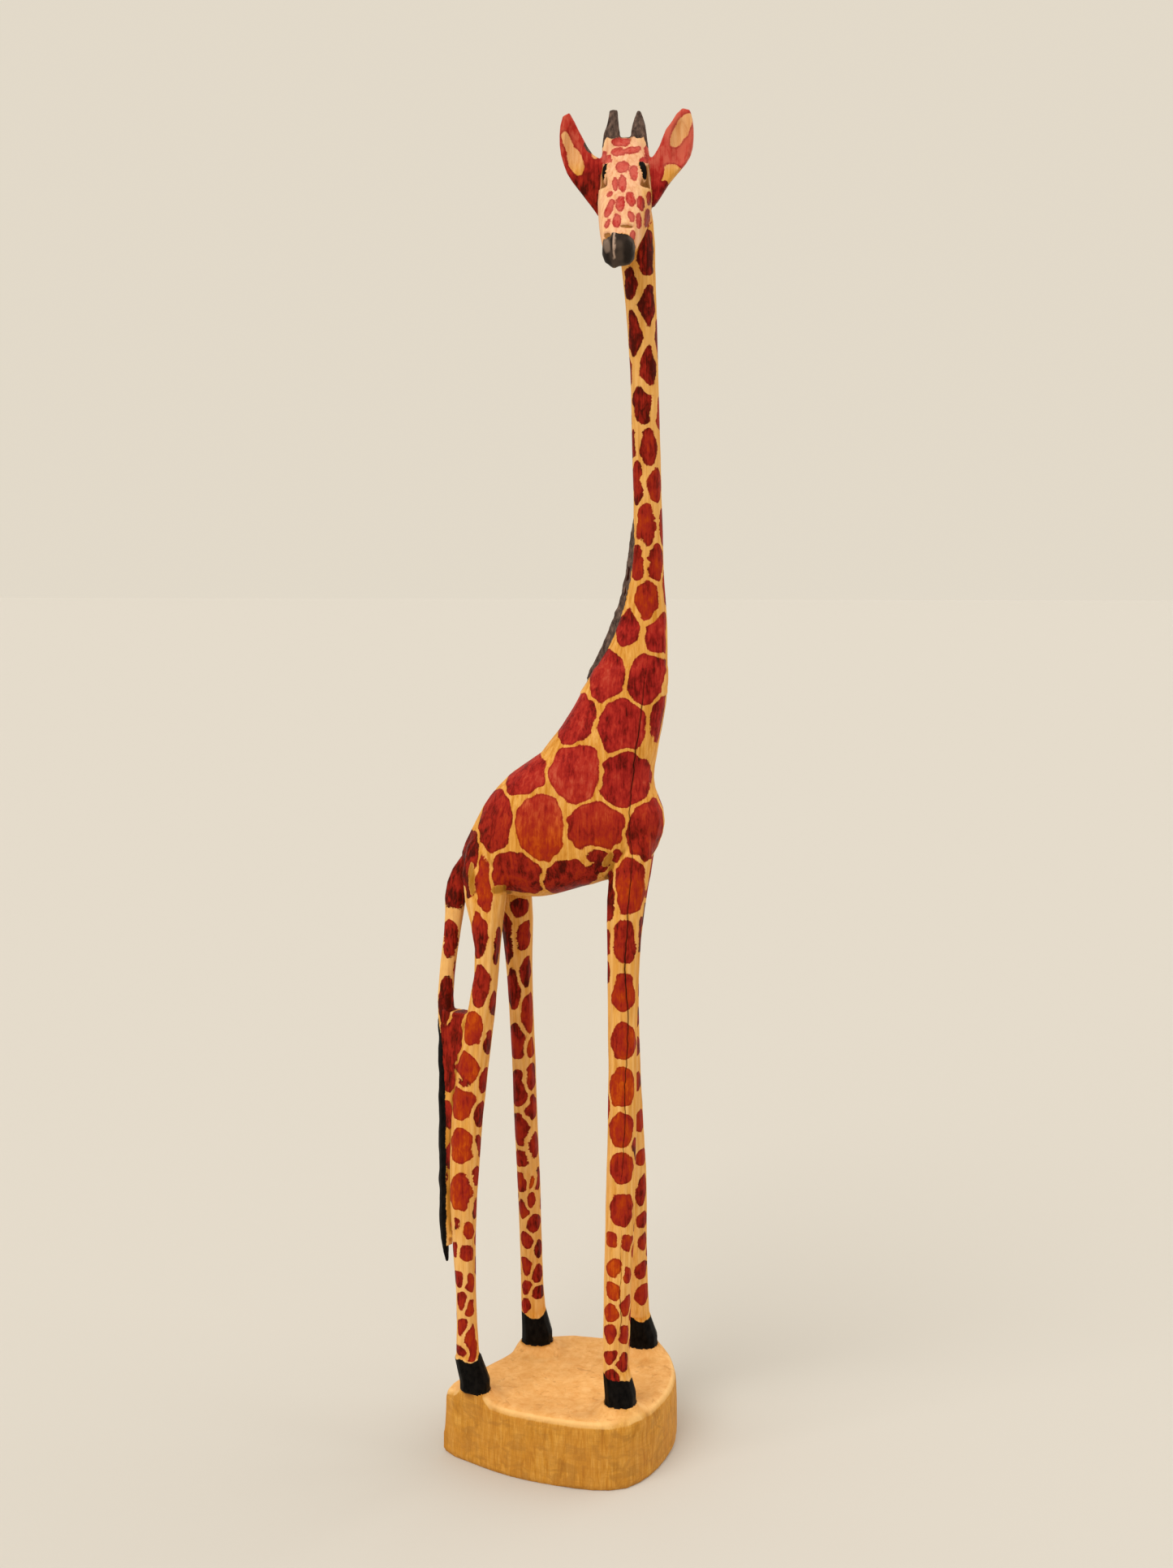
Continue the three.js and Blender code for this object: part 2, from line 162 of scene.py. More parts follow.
def hull_mesh(name, corners):
    """The convex mesh of triangles round corners in millimetres."""
    work = bmesh.new()
    for corner in np.asarray(corners, float) * MM:
        work.verts.new(corner)
    bmesh.ops.convex_hull(work, input=work.verts)
    mesh = bpy.data.meshes.new(name)
    work.to_mesh(mesh)
    work.free()
    return mesh


def new_object(name, mesh):
    made = bpy.data.objects.new(name, mesh)
    bpy.context.scene.collection.objects.link(made)
    return made


def mesh_arrays(mesh, rows, corners):
    """Points in millimetres, and the corners of rows, the mesh's polygons or loop_triangles."""
    points = np.empty(len(mesh.vertices) * 3)
    mesh.vertices.foreach_get("co", points)
    faces = np.empty(len(rows) * corners, int)
    rows.foreach_get("vertices", faces)
    return points.reshape(-1, 3) / MM, faces.reshape(-1, corners)


def triangle_arrays(mesh):
    mesh.calc_loop_triangles()
    return mesh_arrays(mesh, mesh.loop_triangles, 3)


def add_modifier(made, kind, **settings):
    modifier = made.modifiers.new(kind.lower(), kind)
    for key, value in settings.items():
        setattr(modifier, key, value)


def modified(made):
    """The object's mesh after its modifiers."""
    graph = bpy.context.evaluated_depsgraph_get()
    return bpy.data.meshes.new_from_object(made.evaluated_get(graph))


# -------- head


def local_head(points):
    """Head coordinates: x across, y back from the nose, z up, from the middle of the brow."""
    x, y, z = (points - HEAD_PLACE).T
    return np.column_stack([*turned(x, y, HEAD_HEADING), z])


def world_head(rows):
    """The other way: from head coordinates to the model's."""
    x, y, z = np.asarray(rows, float).T
    return HEAD_PLACE + np.column_stack([*turned(x, y, -HEAD_HEADING), z])


def facing(points):
    """Across, up and towards the camera from the middle of the brow, as the camera sees them."""
    way = np.array(CAMERA) / MM - HEAD_PLACE
    distance = np.linalg.norm(way)
    way = way / distance
    right = normalised(np.cross([0.0, 0.0, 1.0], way)[None])[0]
    up = np.cross(way, right)
    near = (points - HEAD_PLACE) @ way
    scale = distance / (distance - near)
    return (points - HEAD_PLACE) @ right * scale, (points - HEAD_PLACE) @ up * scale, near


def socket_cutter(side, front, back):
    """A wedge for one eye socket, which starts front and back from the middle at its two ends."""
    ahead, deep, outer = -60, -3, 27
    corners = [
        (front, ahead, -38), (front + 1, ahead, -17), (outer, ahead, -38.5), (outer, ahead, -9),
        (back, deep, -35.5), (back + 1, deep, -20), (outer, deep, -35), (outer, deep, -16),
    ]
    return new_object("wedge", hull_mesh("wedge", world_head([(side * x, y, z) for x, y, z in corners])))


def carved_head(points, faces):
    """The head with its eye sockets cut back to the bridge of the nose."""
    made = new_object("head_block", new_mesh("head_block", points, faces))
    cutters = [socket_cutter(-1, 6.8, 12), socket_cutter(1, 9.5, 13.5)]
    for cutter in cutters:
        add_modifier(made, "BOOLEAN", operation="DIFFERENCE", solver="EXACT", object=cutter)
    mesh = modified(made)
    for used in (made, *cutters):
        bpy.data.objects.remove(used)
    return triangle_arrays(mesh)


# -------- the fused skin


def cad_arrays(node):
    """Welded points and triangles of a CAD node."""
    points, faces = triangle_arrays(frame["nodes"][node].data)
    kept, where = np.unique(np.round(points, 4), axis=0, return_inverse=True)
    faces = where.reshape(-1)[faces]
    good = (faces[:, 0] != faces[:, 1]) & (faces[:, 1] != faces[:, 2]) & (faces[:, 0] != faces[:, 2])
    return kept, faces[good]


def stacked(meshes):
    """Several (points, faces) pairs as one."""
    starts = np.cumsum([0] + [len(points) for points, _ in meshes[:-1]])
    faces = [faces + start for (_, faces), start in zip(meshes, starts)]
    return np.vstack([points for points, _ in meshes]), np.vstack(faces)


def islands(count, edges):
    """A number for each point that is the same wherever edges join points."""
    label = np.arange(count)
    while True:
        low = np.minimum(label[edges[:, 0]], label[edges[:, 1]])
        new = label.copy()
        np.minimum.at(new, edges[:, 0], low)
        np.minimum.at(new, edges[:, 1], low)
        new = new[new]
        if (new == label).all():
            return label
        label = new


def quad_sides(faces):
    """The first sides of all quads, then their second sides and so on, as pairs of rising numbers."""
    return np.sort(np.vstack([faces[:, [side, (side + 1) % 4]] for side in range(4)]), axis=1)


def quad_edges(faces):
    return np.unique(quad_sides(faces), axis=0)


def face_pairs(faces):
    """Pairs of quads that share an edge."""
    sides = quad_sides(faces)
    owner = np.tile(np.arange(len(faces)), 4)
    key = sides[:, 0].astype(np.int64) * (faces.max() + 1) + sides[:, 1]
    order = np.argsort(key, kind="stable")
    key, owner = key[order], owner[order]
    same = key[1:] == key[:-1]
    return np.column_stack([owner[:-1][same], owner[1:][same]])


def largest_part(points, faces):
    """The biggest connected part of a surface, without the rest."""
    label = islands(len(points), quad_edges(faces))
    names, counts = np.unique(label, return_counts=True)
    keep = label == names[counts.argmax()]
    number = np.cumsum(keep) - 1
    return points[keep], number[faces[keep[faces[:, 0]]]]


def tail_web():
    """Wood left between the tail and the near rear leg, as two convex blocks just apart.

    Each row is a height, then x and two y beside the tail, and x and two y beside the leg."""
    apart = 0.5
    rows = [
        (346, -85, -20, -33, -57, -27, -40), (300, -83, -25, -36.5, -60, -32, -44),
        (172, -81, -33, -40, -68, -38, -47),
    ]
    blocks = []
    for above, below in zip(rows, rows[1:]):
        corners = []
        for lift, (z, x0, y0, y1, x1, y2, y3) in ((0, above), (apart, below)):
            corners += [(x0, y0, z + lift), (x0, y1, z + lift), (x1, y2, z + lift), (x1, y3, z + lift)]
        blocks.append(triangle_arrays(hull_mesh("web", corners)))
    return blocks


def fused_skin():
    """All nodes grown a little and remeshed as one surface of small quads."""
    grown = tail_web()
    for node in NODES:
        points, faces = cad_arrays(node)
        points = points + FUSE * point_normals(points, faces)
        grown.append(carved_head(points, faces) if node == "head" else (points, faces))
    skin = new_object("fused", new_mesh("fused", *stacked(grown)))
    add_modifier(skin, "REMESH", mode="VOXEL", voxel_size=VOXEL * MM, adaptivity=0)
    mesh = modified(skin)
    bpy.data.objects.remove(skin)
    return largest_part(*mesh_arrays(mesh, mesh.polygons, 4))


def nearest_nodes(places):
    """For each place, the number of the CAD node whose surface is nearest."""
    meshes = [cad_arrays(node) for node in NODES]
    owner = np.repeat(np.arange(len(NODES)), [len(faces) for _, faces in meshes])
    points, faces = stacked(meshes)
    tree = BVHTree.FromPolygons(points.tolist(), faces.tolist())
    return owner[[tree.find_nearest(place)[2] for place in places.tolist()]]


def relaxed(points, edges, rounds, strength):
    """Smooths without shrinking, in rounds of a step in and a slightly longer one out.

    strength is from 0 to 1 for each point."""
    for step in (0.55, -0.57) * rounds:
        points = points + step * strength[:, None] * (neighbour_mean(points, edges) - points)
    return points


def on(node_at, *names):
    """Which points belong to the named nodes."""
    return np.isin(node_at, [NODES.index(name) for name in names])


# -------- carving


def crack_gap(points):
    """Signed distance to the drying cracks on the right side, in units of their half width, or FAR."""
    wander = waves(points, ((50, 50, 5), 21, 0.5), ((50, 50, 16), 22, 0.9))
    thinnest = 0.02
    best = np.full(len(points), FAR)
    for rows in CRACKS:
        x, z, wide = np.array(rows).T
        middle = np.interp(points[:, 2], z, x) + wander
        half = np.interp(points[:, 2], z, wide, left=0, right=0)
        gap = np.where(half > thinnest, (points[:, 0] - middle) / np.maximum(half, thinnest), FAR)
        best = np.where(np.abs(gap) < np.abs(best), gap, best)
    return np.clip(np.where(points[:, 1] < 0, best, FAR), -FAR, FAR)


def carved(points, faces, node_at):
    """The skin with marks of the knife, a hewn base, carved hair, a ridge on the nose, notches and cracks."""
    normals = point_normals(points, faces)
    depth = waves(points, ((9, 9, 26), 11, 0.22), ((5, 5, 9), 12, 0.08))
    hewn = waves(points, ((24, 24, 40), 13, 0.5), ((7, 7, 12), 14, 0.12))
    depth = np.where(on(node_at, "base_block"), hewn * smooth(0.5, 4, points[:, 2]), depth)
    tufts = waves(points, ((40, 40, 7), 15, 0.5), ((40, 40, 3.5), 16, 0.3))
    depth += np.where(on(node_at, "mane"), tufts, 0)
    wavy = on(node_at, "tail_tuft") | (on(node_at, "tail") & (points[:, 2] < COMBED_TAIL))
    depth += np.where(wavy, waves(points, ((30, 30, 9), 17, 0.5)), 0)
    across, up, _ = facing(points)
    ridge = 1 - smooth(0, 4.5, np.abs(across + 8.5))
    depth += np.where(on(node_at, "muzzle"), 1.3 * ridge - 0.4 + noise(points, 6, 18) * 0.35, 0)
    face = on(node_at, "head", "muzzle")
    depth -= np.where(face, NOTCH_DEPTH * smooth(-0.6, 0.9, strokes((across, up), NOTCHES)), 0)
    gap = np.abs(crack_gap(points))
    facing_right = smooth(0.3, 0.6, -normals[:, 1])
    depth -= CRACK_DEPTH * smooth(2.2, 0, gap) * facing_right
    return points + normals * depth[:, None]


def settled_pads(points, faces, edges, node_at):
    """Softens the pads under the hooves into the base's hollowed top, and then all but the base's foot."""
    on_base = on(node_at, "base_block")
    up = point_normals(points, faces)[:, 2]
    free = on_base * smooth(BASE_TOP, BASE_TOP + 2, points[:, 2]) * smooth(0.15, 0.6, up)
    for _ in range(90):
        points = points + free[:, None] * 0.6 * (neighbour_mean(points, edges) - points)
    soft = on_base * smooth(14, 26, points[:, 2])
    for _ in range(34):
        points = points + soft[:, None] * 0.5 * (neighbour_mean(points, edges) - points)
    return points


# -------- paint

# Drying cracks on the right side: x, z and half width, from the bottom up
CRACKS = [
    [(57, 222, 0), (58, 246, 0.2), (60, 343, 0.3), (57, 386, 0.5), (60.5, 466, 0.2), (57.5, 499, 0.22),
     (60.5, 535, 0.45), (63.5, 559, 0.42), (66, 577, 0.3), (69, 614, 0)],
    [(58, 100, 0), (57, 130, 0.2), (57, 200, 0)],
]

# Spots on the body's right side, repeated a little shifted on its left: x, z, half length, half height,
# tilt in degrees, depth of stain from 0 to 1
BODY_SPOTS = [
    (-21, 525, 18.5, 14, 26, 0.8), (19, 528, 20, 21.5, 10, 0.72), (53.5, 524.5, 18, 21, -4, 0.85),
    (-44, 490.5, 15, 23.5, -6, 0.87), (-7, 488, 19.5, 24.5, 0, 0.6), (34.5, 489, 20.5, 20, -6, 0.78),
    (71, 487, 14.5, 22, -8, 0.84), (-25, 452.5, 20.5, 17, -6, 0.86), (11, 450.5, 20, 14.5, 26, 0.9),
    (39, 598, 14.6, 18.5, 8, 0.8), (68.5, 597, 13.8, 19, -10, 0.84), (16.5, 565.5, 15.2, 20, -22, 0.82),
    (51.5, 562.5, 17.6, 20.5, 0, 0.8), (78.5, 564.5, 8.2, 19.2, 0, 0.9), (57, 447, 13, 21.5, 0, 0.76),
    (-51, 446, 7, 24, 10, 0.72), (-62.5, 466, 10, 17, 24, 0.96), (85, 595, 5, 12, 0, 0.6),
    (53, 634, 11.2, 14, 4, 0.85), (46, 650, 4.5, 9, 8, 0.85), (76, 628.5, 8, 16.5, -6, 0.78),
]
# Spots between the tail and the near rear leg and behind the elbow, on the right side only: the same, and
# whether they join the spots beside them
WEB_SPOTS = [
    (-74, 326, 8.5, 19, 0, 0.95, True), (-66, 296, 5, 9, 30, 0.9, False),
    (-64.5, 450, 6.5, 18, 14, 0.96, True), (-71, 343, 7, 7, 0, 0.95, True),
    (36, 471, 9.5, 7.5, 0, 1, False), (33, 455.5, 13, 7.5, 30, 1, True),
    (48.5, 468.5, 4.6, 9.5, 10, 1, False),
]
# Ochre, unpainted hollows on the right side: x, z, half length, half height, tilt
OLIVE_PATCHES = [(-60, 447, 2.8, 12, 6), (42.5, 465, 2.4, 6.5, -30), (-40, 440, 4.6, 3.2, 10)]

# Spots round a limb: height, turn from straight out to the right towards the front, half width, half height,
# depth of stain
# The neck's stains are set deeper as painted shade, deepest at the top under the head.
NECK_SPOTS = [
    (897.8, 41, 7.2, 16, 1.02), (876.3, -19, 5.8, 11, 1.05), (862, 41, 7, 15.5, 1.02),
    (841.6, -20, 5.8, 17.5, 1.02), (839.7, 94, 6.5, 15, 0.87), (819, 34, 6.8, 15, 0.97),
    (816.1, -66, 6, 12, 0.97), (792.5, 2, 8, 15, 0.97), (787.2, 88, 6, 13, 0.77),
    (762.2, 21, 6.8, 13.5, 0.87), (765, -60, 6, 11, 0.97), (737.5, -33, 5.6, 17.5, 0.92),
    (735.5, 46, 6.4, 13, 0.77), (706, 3, 7.4, 16.5, 0.77), (705, 92, 6.5, 13, 0.82),
    (679.4, -25, 7, 14.5, 0.82), (679.4, 45, 7.6, 14.5, 0.82), (653.9, 22, 9.8, 16, 0.77),
    (660.7, 100, 7, 14, 0.82),
]
LEG_SPOTS = {
    "front_right": [
        (407, 14, 9.7, 16.9, 0.79), (369, 14, 9.2, 15, 0.74), (333, 17, 9.5, 14.6, 0.69),
        (298.5, 14, 10.1, 15.5, 0.59), (267, 14, 9.2, 12.7, 0.69), (239.5, 14, 9.4, 12.2, 0.74),
        (208, 18, 9.2, 12.2, 0.79), (184.2, -14, 5.8, 6.6, 0.69), (183.2, 44, 5.3, 6.1, 0.74),
        (163.4, -10, 6.4, 6.8, 0.64), (158.5, 50, 5.1, 7, 0.69), (146.5, -12, 6.2, 6.9, 0.64),
        (134.5, 48, 5.1, 7.5, 0.74), (129.5, -14, 6.7, 7.3, 0.64), (113.5, -16, 6.2, 6.8, 0.74),
        (112.4, 46, 5.3, 7.5, 0.74), (95.2, -16, 6.4, 6.4, 0.89), (92.2, 42, 5.5, 7.5, 0.89),
        (81, -10, 6.9, 5.6, 0.94), (438, -54, 9.2, 22.6, 1), (409.9, 84, 6.9, 14.1, 0.94),
        (406, -56, 5.8, 11.3, 0.94), (382, -62, 5.8, 8.5, 0.89),
    ],
    "rear_right": [
        (406, -12, 6.9, 17.9, 0.85), (368.5, -4, 7.8, 15.5, 0.9), (337, 10, 8.5, 13.6, 0.65),
        (307.4, -12, 11, 13.2, 0.7), (280.9, -14, 11.6, 13.2, 0.7), (247.5, 0, 11, 13.6, 0.65),
        (212.7, 8, 10.1, 14.6, 0.65), (186.4, -18, 4, 6.6, 0.85), (184.4, 40, 5.2, 7.5, 0.7),
        (167.3, -20, 4.3, 6.1, 0.85), (166.3, 38, 5.2, 6.6, 0.75), (147.2, -12, 4.5, 6.6, 0.85),
        (143.2, 44, 4.7, 8.5, 0.75), (130.1, -10, 4.3, 7.5, 0.85), (123.1, 40, 4.9, 6.6, 0.75),
        (110, -12, 4.7, 6.6, 0.85), (97, 36, 4.9, 14.1, 0.8), (91, -14, 6, 5.6, 0.85),
        (398, 62, 5.4, 14.1, 0.95), (354.8, 74, 5.6, 10.3, 0.9), (325.2, 74, 5.6, 10.3, 0.9),
        (296.6, 72, 5.6, 9.9, 0.9), (271.1, 70, 5.6, 9.9, 0.9), (246.5, 72, 5.6, 9.4, 0.9),
        (221.9, 76, 5.6, 8.5, 0.9), (199.5, 84, 4.9, 7.5, 0.9),
    ],
    "rear_left": [
        (355, -16, 7.2, 18.8, 0.93), (310.4, -16, 7.7, 15.5, 0.88), (274, -18, 7.9, 15.5, 0.88),
        (239, -16, 7.7, 15, 0.83), (215.6, -18, 7.2, 8, 0.83), (194.2, -24, 6, 8.5, 0.83),
        (171.9, -20, 5.5, 8.9, 0.83), (146.4, -16, 5.8, 8.9, 0.83), (123, -18, 5.3, 7.5, 0.78),
        (104.7, -18, 5.3, 7, 0.78), (90.5, -26, 5.3, 7, 0.83), (397, 44, 7.2, 13.2, 0.88),
        (367, 50, 5.8, 11.8, 0.88), (332.7, 52, 6.7, 16.9, 0.73), (305.4, 52, 5.8, 8.9, 0.73),
        (281.1, 52, 6.5, 10.8, 0.83), (256, 54, 6.2, 11.3, 0.83), (225.8, 52, 6.7, 11.8, 0.83),
        (195.3, 28, 4.3, 7.5, 0.58), (196.3, 72, 6, 10.3, 0.93), (180, 24, 3.8, 6.1, 0.78),
        (159.7, 42, 7.2, 8, 0.88), (137.3, 64, 5.5, 7.5, 0.88), (118, 40, 6.7, 7, 0.93),
        # The long darkest spot at height 392 is deepened into painted shade under the belly on this leg's
        # inner top.
        (101.7, 42, 6.7, 6.6, 0.93), (392, -30, 6.6, 30.1, 1), (418, 30, 8.4, 8.5, 1),
    ],
    "front_left": [
        (311, 62, 5.8, 7.5, 0.9), (283.7, 60, 5.8, 8, 0.85), (250.3, 58, 5.8, 10.3, 0.75),
        (219.9, 56, 6, 8, 0.8), (192.6, 54, 6.2, 12.2, 0.85), (167, 52, 5.8, 8, 0.9),
        (147.4, 50, 5.8, 8, 0.85), (125.8, 50, 5.8, 8, 0.85), (104.1, 52, 6.4, 8, 0.85),
        (335, 64, 5.8, 8.5, 0.9), (357, 60, 6.2, 10.3, 0.9), (385, 60, 6.4, 12.2, 0.9),
    ],
}
# The second row of the tail's spots joins the one above it, and the third lies below both
TAIL_SPOTS = [(398, 2, 6.6, 15, 0.85), (352, 0, 8, 21, 0.95)]
TAIL_JOINED = [(446, -6, 11, 29, 1), (318, 12, 9, 24, 0.97), (300, 44, 5, 10, 0.97)]
TAIL_LOW = [(276, 60, 3, 9, 0.9), (184, 30, 2.6, 6, 0.8)]

# Strokes on the face as seen from in front: across, up from the brow, half width, half height, tilt
FACE_STROKES = [
    (-3.5, -1.4, 6.4, 3.2, 0), (-5.2, -8.4, 4.8, 2.8, 0), (4.4, -7, 6.4, 2.1, 6),
    (-16, -12.1, 2.1, 4.6, -18), (15.7, -8.9, 2.4, 4.6, 12), (-12.6, -14.6, 2.5, 4.4, -12),
    (12.8, -14.6, 3, 2.8, 0), (-2.3, -18.5, 4.6, 4, 0), (6.3, -22.5, 3.7, 5.1, 12),
    (-7.8, -29.6, 1.8, 4.5, 0), (-2.3, -29.6, 2.9, 5.6, 0), (-11.6, -36.6, 2.1, 1.6, 30),
    (3.7, -39.8, 3.1, 4.9, 18), (-3.8, -43, 3.1, 5.1, -6), (-11.6, -46, 2.4, 6.8, -22),
    (10.7, -43, 2.4, 5.1, 10), (16.5, -39.3, 1.6, 4.5, 5), (20.8, -46, 1.5, 6.5, 0), (3.7, -51.7, 2, 4, 18),
    (9.3, -54.7, 1.9, 5.2, 4), (15.3, -52.9, 1.9, 6.1, -3), (-6.4, -54.6, 2.9, 4.6, -8),
    (-12.9, -56.5, 1.4, 3.5, -24), (5.1, -65, 1.7, 3.3, 0), (23.8, -49.2, 1.4, 4.9, 0),
    (18.6, -59, 1.4, 3.8, -14),
]
# The same for notches cut above the nose, a gleam on it, and a charcoal chip on the right ear
NOTCHES = [(0.8, -58.2, 5, 1.5, -6), (-13.2, -64.6, 3.2, 2.6, 0)]
GLEAM = [(-13.5, -71.5, 3.2, 6, 8)]
CHIP = [(-26.1, -5.1, 2.6, 4.6, 40)]
# The same for each ear's bare patches and the stained ones over them, and the stain's depth at the ear's top
EARS = {
    "ear_right": (
        [(-41, -2.4, 3.3, 8.2, 20), (-35.7, -14.4, 5.2, 9.8, 20), (-22.1, -10, 2.4, 2.7, 20)], [], 0.66),
    "ear_left": (
        [(39.2, 5.8, 5, 12.5, -30), (33.7, -24.7, 9.9, 7.1, -25)],
        [(23.8, -22, 3.7, 6.5, -8), (26.4, -32.3, 2.9, 5.4, -32)], 0.42),
}

# How much higher than its hoof a leg's black paint ends
HOOF_EDGE = {"front_right": -4}
# How far forward the tail's black edge reaches: z, x
TAIL_EDGE = [(150, -79), (200, -79.8), (245, -80), (290, -80.8), (320, -83), (340, -87.5)]


def ellipse(side, up, deep, half):
    """Distance outside (positive) or inside (negative) a rounded patch, nearly in millimetres."""
    power = 2.15  # 2 is an ellipse, and more is squarer
    scaled = [np.abs(v) / h for v, h in zip((side, up, deep), half)]
    reach = sum(v ** power for v in scaled) ** (1 / power) + 1e-9
    slope = np.sqrt(sum((v ** (power - 1) / h) ** 2 for v, h in zip(scaled, half))) * reach ** (1 - power)
    return (reach - 1) / np.maximum(slope, 1 / max(half))


class Spots:
    """Gathers the nearest and next nearest spot for every point of a skin."""

    def __init__(self, points):
        self.order = np.argsort(points[:, 2])
        self.points = shaken(points, (11, 31, 1.7), (5, 41, 1.3))[self.order]
        self.heights = points[self.order, 2]
        self.first = np.full(len(points), FAR)
        self.second = np.full(len(points), FAR)
        self.tone = np.zeros(len(points))

    def add(self, centre, out, half, tilt, tone, depth, joined=False, if_free=False, one_side=False):
        """A patch at centre on the surface, with a level outward direction and its half width and height.

        joined grows the spots already there, if_free leaves the patch out where others are too near, and
        one_side ends it at the body's middle plane."""
        reach = max(half) + 6
        low, high = np.searchsorted(self.heights, [centre[2] - reach, centre[2] + reach])
        away = self.points[low:high] - centre
        out = np.asarray(out, float)
        across = np.array([-out[1], out[0], 0.0])
        gap = ellipse(*turned(away @ across, away[:, 2], tilt), away @ out, (*half, depth))
        if one_side:
            past_reach = 80
            gap = gap + past_reach * smooth(2.5, -2, self.points[low:high] @ out)
        first, second = self.first[low:high], self.second[low:high]
        if if_free and (len(gap) == 0 or first[gap.argmin()] < 1.02 * min(half)):
            return
        nearer = gap < first
        if not joined:
            second[:] = np.where(nearer, first, np.minimum(second, gap))
        self.tone[low:high] = np.where(nearer, tone, self.tone[low:high])
        first[:] = np.where(nearer, gap, first)

    def inside(self, gap):
        """Millimetres inside a spot and its tone, in the skin's own order; gap is kept between spots."""
        depth = np.minimum(-self.first, (self.second - self.first - gap) / 2)
        back = np.argsort(self.order)
        return depth[back], self.tone[back]


def out_of(turn):
    """Level direction, turned from straight out to the right (-Y) towards the front (+X)."""
    angle = math.radians(turn - 90)
    return np.array([math.cos(angle), math.sin(angle), 0.0])


class Limb:
    """The centre line of a node that stands more or less upright."""

    def __init__(self, points):
        count, inset, band = 14, 4, 14
        z = points[:, 2]
        rows = []
        for level in np.linspace(z.min() + inset, z.max() - inset, count):
            near = points[np.abs(z - level) < band]
            low, high = near.min(axis=0), near.max(axis=0)
            radius = (high[0] - low[0] + high[1] - low[1]) / 4
            rows.append([level, *((low + high) / 2)[:2], radius])
        self.rows = np.array(rows)

    def at(self, height):
        """x, y and the radius at a height."""
        return [np.interp(height, self.rows[:, 0], self.rows[:, column]) for column in (1, 2, 3)]


def strokes(place, rows):
    """Millimetres inside the nearest stroke; place gives the points' two coordinates first."""
    best = np.full(len(place[0]), -FAR)
    for across, height, wide, tall, tilt in rows:
        side, up = turned(place[0] - across, place[1] - height, tilt)
        best = np.maximum(best, -ellipse(side, up, 0 * side, (wide, tall, 9)))
    return best


class Skin:
    """What the paint asks about the points, such as where they lie on the face."""

    def __init__(self, points, faces, edges, node_at):
        self.points, self.faces, self.edges, self.node_at = points, faces, edges, node_at
        self.normals = point_normals(points, faces)
        self.moved = shaken(points, (3, 51, 0.5), (1.5, 54, 0.25))
        self.wobble = waves(points, (4, 61, 0.8), (1.6, 62, 0.4))
        self.head = local_head(self.moved)
        self.seen = facing(self.moved)
        self.on_head = self.on("head", "eye_left", "eye_right", "muzzle")
        self.on_ears = self.on("ear_left", "ear_right")
        self.in_front = self.head[:, 1] < 6.5  # of the ears' edges
        self.past_jaw = self.head[:, 2] - 0.775 * self.head[:, 1] + 59.3
        self.face = self.on_head & (self.past_jaw > 0)
        # the cheek that is turned away from the light, where painted shade deepens the stain and dims the
        # pale wood and the crimson
        self.shaded_cheek = smooth(9.5, 12.5, self.seen[0]) * smooth(-30, -35, self.seen[1])

    def on(self, *names):
        return on(self.node_at, *names)


def painted_spots(skin):
    """Millimetres inside the spots of the body, neck, legs and tail, and their stain."""
    points = skin.points
    tree = BVHTree.FromPolygons(points.tolist(), skin.faces.tolist())
    spots = Spots(points)

    def on_surface(middle, out, reach):
        place = tree.ray_cast(Vector(middle + out * reach), Vector(-out))[0]
        return np.array(place) if place is not None else middle

    def round_limb(limb, rows, depth, **how):
        for height, turn, wide, tall, tone in rows:
            x, y, _ = limb.at(height)
            out = out_of(turn)
            place = on_surface(np.array([x, y, height]), out, 24)
            spots.add(place, out, (wide, tall), 0, tone, depth, **how)

    def fill(limb, turns, low, high, pitch):
        """Columns of like spots on the sides away from the camera."""
        for number, turn in enumerate(turns):
            rows = []
            for z in np.arange(high - (number % 2) * pitch / 2, low, -pitch):
                wide = 0.47 * limb.at(z)[2] * (1 + 0.1 * math.sin(z * 1.7))
                tall = 0.42 * pitch * (1 + 0.12 * math.sin(z * 2.9))
                tone = 0.84 + 0.1 * math.sin(z * 0.9)
                rows.append((z + 3 * math.sin(z + turn), turn + 6 * math.sin(z * 2.1), wide, tall, tone))
            round_limb(limb, rows, 11, if_free=True)

    for side in (1, -1):
        out = np.array(RIGHT) * side
        for number, (x, z, long, tall, tilt, tone) in enumerate(BODY_SPOTS):
            shift = 0 if side == 1 else 3 * math.sin(number * 2.4)
            middle = np.array([x + shift, 0.0, z + shift / 2])
            spots.add(on_surface(middle, out, 60), out, (long, tall), tilt * side, tone, 60, one_side=True)
    out = np.array(RIGHT)
    for x, z, long, tall, tilt, tone, joined in WEB_SPOTS:
        place = on_surface(np.array([x, -30.0, z]), out, 40)
        spots.add(place, out, (long, tall), tilt, tone, 14, joined=joined)

    neck = Limb(points[skin.on("neck")])
    round_limb(neck, NECK_SPOTS, 14)
    fill(neck, (150, -150, -98, 112), 655, 905, 30)
    for name in LEGS:
        limb = Limb(points[skin.on("leg_" + name)])
        round_limb(limb, LEG_SPOTS[name], 13)
        fill(limb, (84, 146, -152, -90, -60), 190, 415, 27)
        fill(limb, (106, 166, -134, -74), 92, 190, 17)
    tail = Limb(points[skin.on("tail")])
    round_limb(tail, TAIL_SPOTS, 12)
    round_limb(tail, TAIL_JOINED, 12, joined=True)
    round_limb(tail, TAIL_LOW, 12)
    fill(tail, (180, 90, 230), 200, 420, 34)
    body = smooth(*BELLY, points[:, 2]) * smooth(*SHOULDER, points[:, 2])
    narrow_gap, more_on_body = 2.3, 1.9
    return spots.inside(narrow_gap + more_on_body * body)


